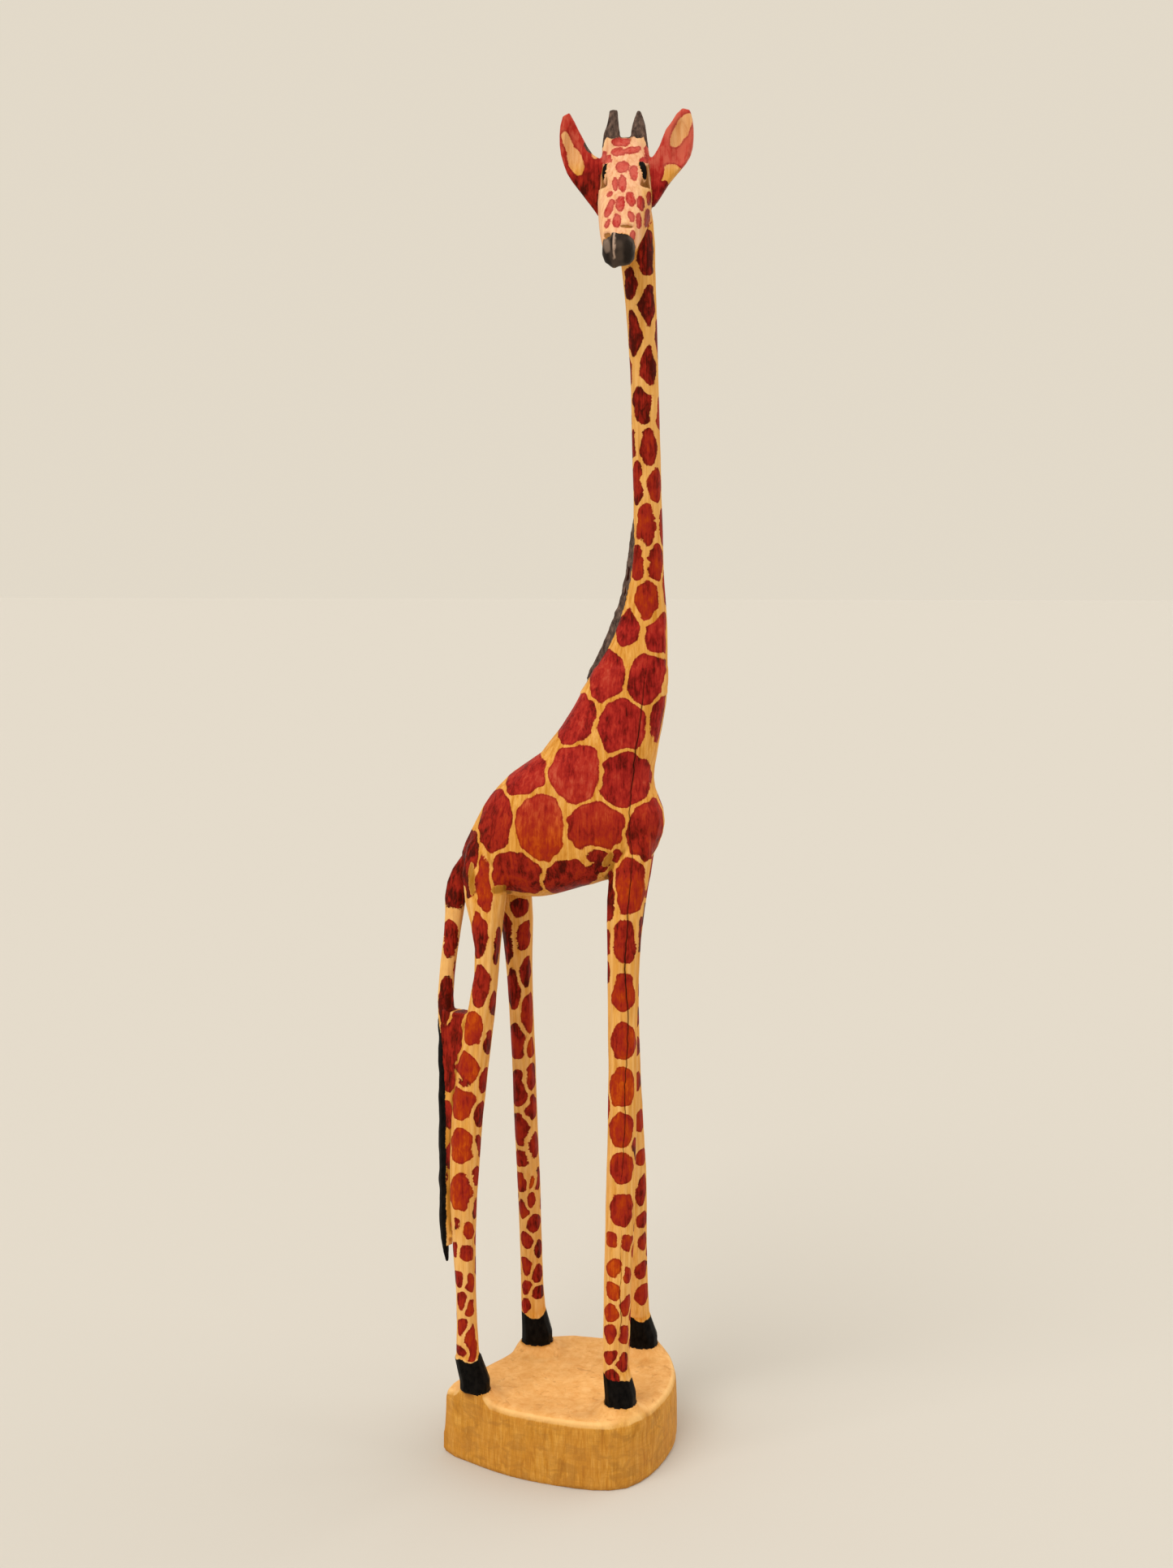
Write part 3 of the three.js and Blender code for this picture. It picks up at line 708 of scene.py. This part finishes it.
def stain_layers(skin):
    """Millimetres inside a spot, a face stroke or an ear's stain, and the depth of stain there."""
    spot, tone = painted_spots(skin)
    spot = np.where(skin.face, strokes(skin.seen, FACE_STROKES) + 0.35, spot)
    spot = np.where(skin.on_head & (skin.head[:, 1] > 3), NO_PAINT, spot)
    # painted shade on the cheek turned away from the light: deeper stain there
    tone = np.where(skin.face, 0.47 + 0.3 * skin.shaded_cheek, tone)
    for name, (bare, stained, light) in EARS.items():
        ear = skin.on(name)
        inside = np.where(ear & skin.in_front, strokes(skin.seen, bare), NO_PAINT)
        inside = np.minimum(inside, -strokes(skin.seen, stained))
        spot = np.where(ear, -inside, spot)
        tone = np.where(ear, light + (1 - light) * smooth(-8, -38, skin.head[:, 2]), tone)
    return spot, tone


def black_layer(skin):
    """Millimetres inside the black of the hooves, tail, nose and eyes."""
    points, height, wobble = skin.points, skin.points[:, 2], skin.wobble
    black = np.full(len(points), NO_PAINT)
    lift = 4.5 * noise(points, (11, 11, 400), 63)
    for name in LEGS:
        hoof_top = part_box("hoof_" + name)[1].z / MM + HOOF_EDGE.get(name, 0)
        black = np.where(skin.on("hoof_" + name, "leg_" + name), hoof_top + lift - height + wobble, black)
    black = np.where(skin.on("tail_tuft", "eye_left", "eye_right"), ALL_PAINT + wobble, black)
    black = np.where(skin.on("muzzle"), np.minimum(ALL_PAINT + wobble, height - NOSE_LOW + wobble), black)
    level, middle = np.array(TAIL_EDGE).T
    edge = np.interp(height, level, middle) + noise(points, (30, 30, 7), 64) * 0.7 - points[:, 0]
    return np.where(skin.on("tail"), np.minimum(edge, BLACK_TAIL - height), black)


def charcoal_layer(skin):
    """Millimetres inside the charcoal of the mane, horns, chip and brow."""
    a, b = skin.edges.T
    steps = 8
    from_mane = np.where(skin.on("mane"), 0.0, steps + 1.0)
    for _ in range(steps):
        np.minimum.at(from_mane, a, from_mane[b] + VOXEL)
        np.minimum.at(from_mane, b, from_mane[a] + VOXEL)
    across, up, _ = skin.seen
    dark = 5.5 * smooth(*MANE_BLUR, skin.points[:, 2]) - from_mane + skin.wobble
    dark = np.maximum(NO_PAINT, dark)
    dark = np.where(skin.on("mane", "horn_left", "horn_right"), ALL_PAINT + skin.wobble, dark)
    brow = up - 1 + skin.wobble + 9 * smooth(13, 17, np.abs(across + 0.5)) * smooth(-14, -4, up)
    dark = np.where(skin.face, brow, dark)
    return np.where(skin.on("ear_right") & skin.in_front, strokes(skin.seen, CHIP), dark)


def bare_sockets(skin):
    """1 on the bare wood in the eye sockets, and 0 elsewhere."""
    across, up = np.abs(skin.head[:, 0]), skin.head[:, 2]
    inner = np.where(skin.head[:, 0] < 0, 7, 9.6)
    socket = smooth(inner, inner + 1.5, across) * smooth(-37, -35.5, up) * smooth(-17, -19, up)
    return np.where(skin.face, socket * smooth(19, 17.5, across), 0)


def ochre_hollows(skin):
    """Millimetres inside the ochre patches."""
    olive = strokes((skin.moved[:, 0], skin.moved[:, 2]), OLIVE_PATCHES)
    return np.where((skin.points[:, 1] < 0) & ~skin.on("base_block"), olive, NO_PAINT)


def shade_and_rim_light_layer(skin, socket, olive):
    """Painted shade in creases and a painted highlight on rounded edges, from how far the skin lies below its
    own smoothed shape; more painted shade in the eye sockets and notches, and darker ochre patches.
    """
    level = skin.points
    for _ in range(40):
        level = neighbour_mean(level, skin.edges)
    shade_and_rim_light = np.clip(((level - skin.points) * skin.normals).sum(axis=1), -2, 2)
    shade_and_rim_light = shade_and_rim_light * np.where(skin.on_ears, 0.25, 1)
    up = skin.normals[:, 2]
    # the painted highlight on the base falls only on the slanted rims of its top
    rim = smooth(0.15, 0.35, up) * smooth(0.97, 0.85, up)
    shade_and_rim_light = np.where(skin.on("base_block"), np.minimum(shade_and_rim_light, 0) * rim + np.maximum(shade_and_rim_light, 0), shade_and_rim_light)
    # more painted shade in the carved notches above the nose and in the eye sockets
    notch = np.where(skin.on_head, 0.8 * smooth(-0.3, 0.6, strokes(skin.seen, NOTCHES)), 0)
    shade_and_rim_light = shade_and_rim_light + 0.6 * socket + notch
    return np.where(olive > -1.5, np.maximum(shade_and_rim_light, 0), shade_and_rim_light) + 0.8 * smooth(-1.5, 1, olive)


def pale_wood_and_nose_highlight_layer(skin):
    """How pale the bare wood of the face and ears is, and the painted highlight and sheen on the nose's black
    paint.
    """
    across, up, _ = skin.seen
    # painted shade dims the pale wood on the cheek turned away from the light
    pale = np.where(skin.face, smooth(0, 3, skin.past_jaw + skin.wobble) * (1 - 0.75 * skin.shaded_cheek), 0.0)
    pale = np.where(skin.on_ears, 0.5 * smooth(-24, -12, up), pale)
    # a painted highlight line down the nose's ridge, then a painted sheen mottling the black, with a painted
    # gleam
    ridge = 1.2 * (1 - smooth(0.35, 0.9, np.abs(across + 8.3)))
    ridge = ridge * smooth(-82, -79, up) * smooth(-51.5, -54, up)
    gleam = 0.4 * smooth(0, 2, strokes(skin.seen, GLEAM))
    sheen = 0.04 + 0.12 * smooth(-0.4, 0.5, noise(skin.points, 5, 65)) + gleam
    pale = np.where(skin.on("muzzle"), np.maximum(ridge, sheen), pale)
    return np.where(skin.on("eye_left", "eye_right"), 0, pale)


def crimson_and_sheen_layer(skin):
    """How far the stain leans from brown to crimson: crimson paint on the face and ears, and on the top of
    the body also a painted sheen of overhead light.
    """
    up, height = skin.seen[1], skin.points[:, 2]
    # painted shade takes the crimson out of the cheek turned away from the light
    crimson_and_sheen = np.where(skin.face, 1 - 0.8 * skin.shaded_cheek, 0.0)
    crimson_and_sheen = np.where(skin.on("ear_left"), 0.85, crimson_and_sheen)
    crimson_and_sheen = np.where(skin.on("ear_right"), 0.7 * smooth(-34, -14, up), crimson_and_sheen)
    # on the top of the body the crimson lean is also a painted sheen of overhead light
    return np.where(height < 640, 0.6 * smooth(470, 530, height), crimson_and_sheen)


def paint_layers(skin):
    """The numbers that the materials read, one for each point."""
    spot, tone = stain_layers(skin)
    socket, olive = bare_sockets(skin), ochre_hollows(skin)
    spot = np.where(socket > 0.5, -3, spot)
    return {
        "spot": np.where(olive > -6, np.minimum(spot, -olive), spot),
        "tone": tone,
        "black": black_layer(skin),
        "dark": charcoal_layer(skin),
        "shade_and_rim_light": shade_and_rim_light_layer(skin, socket, olive),
        "pale": pale_wood_and_nose_highlight_layer(skin),
        "crimson_and_sheen": crimson_and_sheen_layer(skin),
        "crack": np.where(skin.normals[:, 1] < -0.25, crack_gap(skin.points), FAR),
    }


# -------- cutting into pieces


def without_specks(labels, pairs):
    """Gives each small stray region of faces the label of a neighbour."""
    for _ in range(6):
        same = labels[pairs[:, 0]] == labels[pairs[:, 1]]
        region = islands(len(labels), pairs[same])
        _, where, counts = np.unique(region, return_inverse=True, return_counts=True)
        size = counts[where.reshape(-1)]
        biggest = np.zeros(len(NODES), int)
        np.maximum.at(biggest, labels, size)
        speck = size < biggest[labels]
        if not speck.any():
            break
        for one, other in (pairs.T, pairs.T[::-1]):
            move = speck[one] & ~speck[other]
            labels[one[move]] = labels[other[move]]
    return labels


def without_pinches(faces, labels, pairs):
    """Makes every cut line a simple loop: no point where two corners of one piece touch."""
    for _ in range(12):
        count = np.zeros((faces.max() + 1, len(NODES)), np.int16)
        np.add.at(count, (faces.reshape(-1), np.repeat(labels, 4)), 1)
        kinds = (count > 0).sum(axis=1)
        changes = np.zeros(len(count), int)
        across = pairs[labels[pairs[:, 0]] != labels[pairs[:, 1]]]
        for one, other in across:
            for point in set(faces[one].tolist()) & set(faces[other].tolist()):
                changes[point] += 1
        bad = (kinds > 1) & (changes != kinds)
        if not bad.any():
            break
        common = count.argmax(axis=1)
        for face in np.flatnonzero(bad[faces].any(axis=1)):
            point = faces[face][bad[faces[face]]][0]
            labels[face] = common[point]
        labels = without_specks(labels, pairs)
    return labels


def capped(work, normals):
    """Closes every open border: its rim turns into the wood, and a face spans it.

    Returns the normals for the added points."""
    after = {}
    for edge in work.edges:
        if edge.is_boundary:
            loop = edge.link_loops[0]
            after.setdefault(loop.link_loop_next.vert, []).append(loop.vert)
    rings = []
    while after:
        ring = [next(iter(after))]
        while ring:
            point = after[ring[-1]].pop()
            if not after[ring[-1]]:
                del after[ring[-1]]
            if point not in ring:
                ring.append(point)
                continue
            start = ring.index(point)
            rings.append(ring[start:])
            ring = ring[:start + 1] if start else []
    spans, added = [], []
    for ring in rings:
        inner = []
        for point in ring:
            normal = normals[point.index]
            inner.append(work.verts.new(point.co - Vector(normal) * RIM * MM))
            added.append(normal)
        for k in range(len(ring)):
            work.faces.new((ring[k - 1], ring[k], inner[k], inner[k - 1]))
        spans.append(work.faces.new(inner))
    bmesh.ops.triangulate(work, faces=spans, ngon_method="EAR_CLIP")
    return added


def cut_piece(name, points, faces, normals, layers):
    """One closed piece of the skin, with its cut filled."""
    used = np.unique(faces)
    number = np.full(len(points), -1)
    number[used] = np.arange(len(used))
    mesh = new_mesh(name, points[used], number[faces])
    for key, values in layers.items():
        attribute = mesh.attributes.new(key, "FLOAT", "POINT")
        attribute.data.foreach_set("value", values[used].astype(np.float32))
    work = bmesh.new()
    work.from_mesh(mesh)
    own_normals = normals[used].tolist()
    own_normals += capped(work, own_normals)
    work.to_mesh(mesh)
    work.free()
    mesh.shade_smooth()
    mesh.normals_split_custom_set_from_vertices(own_normals)
    return new_object(name, mesh)


# -------- materials


def rgb(red, green, blue):
    """A colour from 0-255 values as the linear values that shaders use."""
    linear = [(c / 255 / 12.92) if c < 11 else ((c / 255 + 0.055) / 1.055) ** 2.4 for c in (red, green, blue)]
    return (*linear, 1.0)


class Graph:
    """Short names for the nodes of one material."""

    def __init__(self, name):
        self.material = bpy.data.materials.new(name)
        self.material.use_nodes = True
        self.tree = self.material.node_tree
        self.tree.nodes.clear()

    def node(self, kind, inputs=(), **settings):
        made = self.tree.nodes.new(kind)
        for key, value in settings.items():
            setattr(made, key, value)
        for key, value in dict(inputs).items():
            socket = made.inputs[key]
            if isinstance(value, bpy.types.NodeSocket):
                self.tree.links.new(value, socket)
            else:
                socket.default_value = value
        return made

    def place(self, sizes):
        """Object coordinates counted in cells of the given sizes in millimetres."""
        where = self.node("ShaderNodeTexCoord").outputs["Object"]
        scale = [1 / (size * MM) for size in sizes]
        return self.node("ShaderNodeVectorMath", {0: where, 1: scale}, operation="MULTIPLY").outputs[0]

    def noise(self, sizes, detail=2.0, rough=0.5, twist=0.0):
        inputs = {"Vector": self.place(sizes), "Scale": 1.0, "Detail": detail, "Roughness": rough}
        return self.node("ShaderNodeTexNoise", {**inputs, "Distortion": twist}).outputs["Fac"]

    def math(self, operation, a, b=0.0, clamp=False):
        return self.node("ShaderNodeMath", {0: a, 1: b}, operation=operation, use_clamp=clamp).outputs[0]

    def span(self, value, low, high, start=0.0, end=1.0):
        inputs = {"Value": value, "From Min": low, "From Max": high, "To Min": start, "To Max": end}
        return self.node("ShaderNodeMapRange", inputs, interpolation_type="SMOOTHSTEP").outputs["Result"]

    def mix(self, factor, first, second):
        """Mixes two colours; 6, 7 and 2 are the colour sockets."""
        return self.node("ShaderNodeMix", {0: factor, 6: first, 7: second}, data_type="RGBA").outputs[2]

    def tint(self, colour, value, low, high, start, end, tint):
        """Mixes a tint into a colour, as much as span makes of the value."""
        return self.mix(self.span(value, low, high, start, end), colour, rgb(*tint))

    def ramp(self, value, stops):
        made = self.node("ShaderNodeValToRGB", {"Fac": value})
        elements = made.color_ramp.elements
        while len(elements) < len(stops):
            elements.new(0.5)
        for element, (position, *colour) in zip(elements, stops):
            element.position = position
            element.color = rgb(*colour)
        return made.outputs["Color"]

    def layer(self, name):
        return self.node("ShaderNodeAttribute", attribute_name=name, attribute_type="GEOMETRY").outputs["Fac"]

    def bump(self, height, distance, strength=1.0, under=None):
        inputs = {"Height": height, "Distance": distance * MM, "Strength": strength}
        if under is not None:
            inputs["Normal"] = under
        return self.node("ShaderNodeBump", inputs).outputs["Normal"]

    def finish(self, inputs):
        shader = self.node("ShaderNodeBsdfPrincipled", inputs)
        self.node("ShaderNodeOutputMaterial", {"Surface": shader.outputs[0]})
        return self.material


def painted_wood(name):
    """Varnished golden wood under stain, black and charcoal paint, placed by the skin's layers."""
    g = Graph(name)
    streak = g.noise((2.4, 2.4, 44), 4, 0.6, 0.3)
    fine = g.noise((0.7, 0.7, 12), 3, 0.6)
    daub = g.noise((3.2, 3.2, 6.5), 3, 0.6, 0.6)
    blotch = g.noise((12, 12, 17), 3, 0.55)
    edge = g.math("MULTIPLY", g.math("SUBTRACT", g.noise((1.5, 1.5, 2.0), 3, 0.65), 0.5), 1.9)

    golden = g.ramp(streak, [(0.3, 196, 128, 40), (0.5, 226, 164, 76), (0.7, 238, 184, 104)])
    golden = g.tint(golden, fine, 0.32, 0.6, 0.3, 0, (170, 104, 30))
    golden = g.tint(golden, blotch, 0.35, 0.7, 0.25, 0, (196, 124, 34))
    cream = g.ramp(streak, [(0.3, 214, 148, 106), (0.5, 231, 177, 138), (0.7, 240, 194, 156)])
    wood = g.mix(g.layer("pale"), golden, cream)
    # painted shade darkens creases and recesses towards olive, and a painted highlight lightens rounded edges
    shade_and_rim_light = g.layer("shade_and_rim_light")
    wood = g.tint(wood, shade_and_rim_light, 0.2, 1.0, 0, 0.85, (140, 88, 10))
    wood = g.tint(wood, shade_and_rim_light, -0.25, -0.9, 0, 0.35, (250, 212, 150))

    tone = g.layer("tone")
    for value, low, high, more, less in (
            (streak, 0.25, 0.75, 0.08, -0.14), (blotch, 0.3, 0.7, 0.1, -0.16), (daub, 0.3, 0.7, 0.09, -0.12),
            (fine, 0.3, 0.7, 0.05, -0.07)):
        tone = g.math("ADD", tone, g.span(value, low, high, more, less))
    stain = g.ramp(tone, [
        (0.05, 216, 120, 26), (0.32, 190, 78, 14), (0.52, 166, 52, 14), (0.72, 152, 36, 24),
        (0.88, 118, 24, 12), (1.0, 72, 15, 6)])
    crimson = g.ramp(tone, [
        (0.3, 204, 96, 84), (0.6, 182, 46, 42), (0.8, 150, 28, 28), (1.0, 92, 14, 12)])
    # the crimson lean, which on the top of the body is also a painted sheen
    crimson_and_sheen = g.mix(g.layer("crimson_and_sheen"), stain, crimson)
    inside = g.math("ADD", g.layer("spot"), edge)
    colour = g.mix(g.span(inside, -0.3, 0.35), wood, crimson_and_sheen)
    rim = g.math("MULTIPLY", g.span(inside, 0.1, 0.5), g.span(inside, 1.7, 0.7))
    colour = g.mix(g.math("MULTIPLY", rim, 0.3), colour, rgb(92, 18, 8))

    charcoal = g.ramp(g.noise((2.5, 2.5, 5), 4, 0.65), [
        (0.35, 56, 45, 41), (0.55, 98, 80, 72), (0.75, 136, 111, 98)])
    is_dark = g.span(g.math("ADD", g.layer("dark"), edge), -0.3, 0.4)
    colour = g.mix(is_dark, colour, charcoal)
    soot = g.ramp(g.noise((3, 3, 5), 4, 0.6), [(0.35, 5, 4, 4), (0.68, 22, 19, 17)])
    # on the nose the pale layer lightens the black into its painted highlight and sheen
    soot = g.mix(g.math("MULTIPLY", g.layer("pale"), 0.8), soot, rgb(196, 168, 150))
    is_black = g.span(g.math("ADD", g.layer("black"), edge), -0.3, 0.4)
    colour = g.mix(is_black, colour, soot)
    crack = g.math("ABSOLUTE", g.math("ADD", g.layer("crack"), g.math("MULTIPLY", edge, 0.2)))
    colour = g.mix(g.span(crack, 1.1, 0.6), colour, rgb(30, 10, 4))
    colour = g.tint(colour, crack, 3.6, 1.0, 0, 0.3, (74, 20, 6))

    rough = g.span(blotch, 0.3, 0.7, 0.36, 0.52)
    rough = g.math("ADD", rough, g.span(fine, 0.3, 0.7, 0.08, -0.05))
    rough = g.math("ADD", rough, g.math("MULTIPLY", is_dark, 0.2))
    relief = g.math("ADD", g.math("MULTIPLY", streak, 0.5), g.math("MULTIPLY", fine, 0.3))
    normal = g.bump(relief, 0.35, 0.5)
    normal = g.bump(g.noise((1.6, 1.6, 2.6), 3, 0.6), 0.25, 0.4, normal)
    return g.finish({
        "Base Color": colour, "Roughness": rough, "Normal": normal, "Specular IOR Level": 0.05, "IOR": 1.45})


def raw_wood(name):
    """Bare hewn wood: upright grain on the sides and mottled end grain on top."""
    g = Graph(name)
    streak = g.noise((4.6, 4.6, 30), 5, 0.62, 1.4)
    fine = g.noise((0.8, 0.8, 14), 3, 0.6)
    saw = g.noise((26, 26, 1.7), 3, 0.6, 0.2)
    blotch = g.noise((22, 22, 22), 3, 0.55)
    daub = g.noise((6, 6, 9), 4, 0.6, 0.4)
    up = g.node("ShaderNodeSeparateXYZ", {0: g.node("ShaderNodeNewGeometry").outputs["Normal"]}).outputs["Z"]
    top = g.span(up, 0.4, 0.8)
    side = g.ramp(streak, [(0.26, 166, 102, 18), (0.46, 204, 142, 46), (0.72, 224, 168, 78)])
    side = g.tint(side, fine, 0.34, 0.6, 0.3, 0, (150, 92, 20))
    side = g.tint(side, saw, 0.35, 0.6, 0.2, 0, (158, 102, 26))
    side = g.tint(side, daub, 0.36, 0.6, 0.3, 0, (182, 120, 30))
    side = g.tint(side, g.noise((13, 13, 9), 5, 0.62, 0.8), 0.47, 0.62, 0, 0.5, (158, 106, 36))
    end = g.ramp(daub, [(0.3, 222, 160, 88), (0.5, 232, 176, 106), (0.7, 240, 190, 124)])
    end = g.tint(end, g.noise((1.6, 1.6, 1.6), 3, 0.6), 0.3, 0.38, 0.3, 0, (170, 104, 44))
    end = g.tint(end, g.noise((8, 8, 8), 4, 0.65, 1.0), 0.56, 0.7, 0, 0.45, (176, 118, 58))
    colour = g.mix(top, side, end)
    colour = g.tint(colour, blotch, 0.35, 0.65, 0.25, 0, (196, 132, 48))
    # painted shade darkens creases and recesses, and a painted highlight lightens rounded edges and the
    # slanted rims of the top
    shade_and_rim_light = g.layer("shade_and_rim_light")
    colour = g.tint(colour, shade_and_rim_light, 0.12, 0.8, 0, 0.8, (160, 100, 22))
    colour = g.tint(colour, shade_and_rim_light, -0.2, -0.9, 0, 0.5, (248, 206, 138))
    relief = g.math("ADD", g.math("MULTIPLY", streak, 0.5), g.math("MULTIPLY", fine, 0.35))
    relief = g.math("ADD", relief, g.math("MULTIPLY", saw, 0.4))
    relief = g.math("MULTIPLY", relief, g.span(top, 0, 1, 1, 0.3))
    rough = g.span(blotch, 0.3, 0.7, 0.6, 0.75)
    normal = g.bump(relief, 0.6, 0.5)
    return g.finish({"Base Color": colour, "Roughness": rough, "Normal": normal, "Specular IOR Level": 0.25})


# -------- the statue


def statue():
    """Builds all pieces, each riding on the root body in its node's place."""
    points, faces = fused_skin()
    edges = quad_edges(faces)
    labels = nearest_nodes(points[faces].mean(axis=1))
    pairs = face_pairs(faces)
    labels = without_pinches(faces, without_specks(labels, pairs), pairs)
    node_at = np.zeros(len(points), int)
    node_at[faces.reshape(-1)] = np.repeat(labels, 4)
    kinds = ("ear", "horn", "eye", "hoof", "muzzle", "base", "head")
    crisp = [name for name in NODES if name.startswith(kinds)]
    strength = np.where(on(node_at, *crisp), 0.35, 1.0)
    points = relaxed(points, edges, 15, strength)
    points = points - FUSE * point_normals(points, faces)
    points = settled_pads(points, faces, edges, node_at)
    points = carved(points, faces, node_at)
    skin = Skin(points, faces, edges, node_at)
    layers = paint_layers(skin)
    materials = {slot: painted_wood(slot) for slot in sorted(set(SLOT_OF.values())) if slot != "raw_wood"}
    materials["raw_wood"] = raw_wood("raw_wood")
    for number, node in enumerate(NODES):
        piece = cut_piece("carved_" + node, points, faces[labels == number], skin.normals, layers)
        piece.data.materials.append(materials[SLOT_OF[node]])
        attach(piece, "root")
        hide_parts(node)


# -------- floor, light and camera


def floor():
    half = 60000.0
    corners = np.array([[-half, -half, 0], [half, -half, 0], [half, half, 0], [-half, half, 0]])
    made = new_object("floor", new_mesh("floor", corners, np.arange(4)[None]))
    g = Graph("floor")
    pale = {"Base Color": rgb(204, 202, 198), "Roughness": 0.9, "Specular IOR Level": 0.1}
    made.data.materials.append(g.finish(pale))


def sun(name, come_from, strength, angle, colour):
    """A soft light; angle is its width in degrees."""
    light = bpy.data.lights.new(name, "SUN")
    light.energy = strength
    light.angle = math.radians(angle)
    light.color = colour
    made = new_object(name, light)
    made.rotation_euler = Vector(come_from).to_track_quat("Z", "Y").to_euler()


def studio():
    world = bpy.data.worlds.new("studio")
    world.use_nodes = True
    world.node_tree.nodes["Background"].inputs["Color"].default_value = rgb(250, 240, 222)
    world.node_tree.nodes["Background"].inputs["Strength"].default_value = 0.8
    bpy.context.scene.world = world
    bpy.context.scene.view_settings.view_transform = "Standard"
    sun("key", (-0.5, -1.0, 1.3), 1.5, 40, (1, 0.95, 0.88))
    sun("fill", (1.0, 0.5, 1.0), 0.8, 60, (1, 0.96, 0.9))


def camera():
    """Looks from ahead of square on to the right side, a little down and aside."""
    ahead, down, aside = 14, 6.8, 0.8735  # degrees
    way = math.radians(ahead - aside)
    look = Vector((-math.sin(way), math.cos(way), -math.tan(math.radians(down))))
    data = bpy.data.cameras.new("camera")
    data.sensor_fit = "AUTO"
    data.sensor_width = 36
    data.lens = 39.15
    data.clip_end = 200
    made = new_object("camera", data)
    made.location = CAMERA
    made.rotation_euler = look.to_track_quat("-Z", "Y").to_euler()
    bpy.context.scene.camera = made


camera()
studio()
floor()
statue()
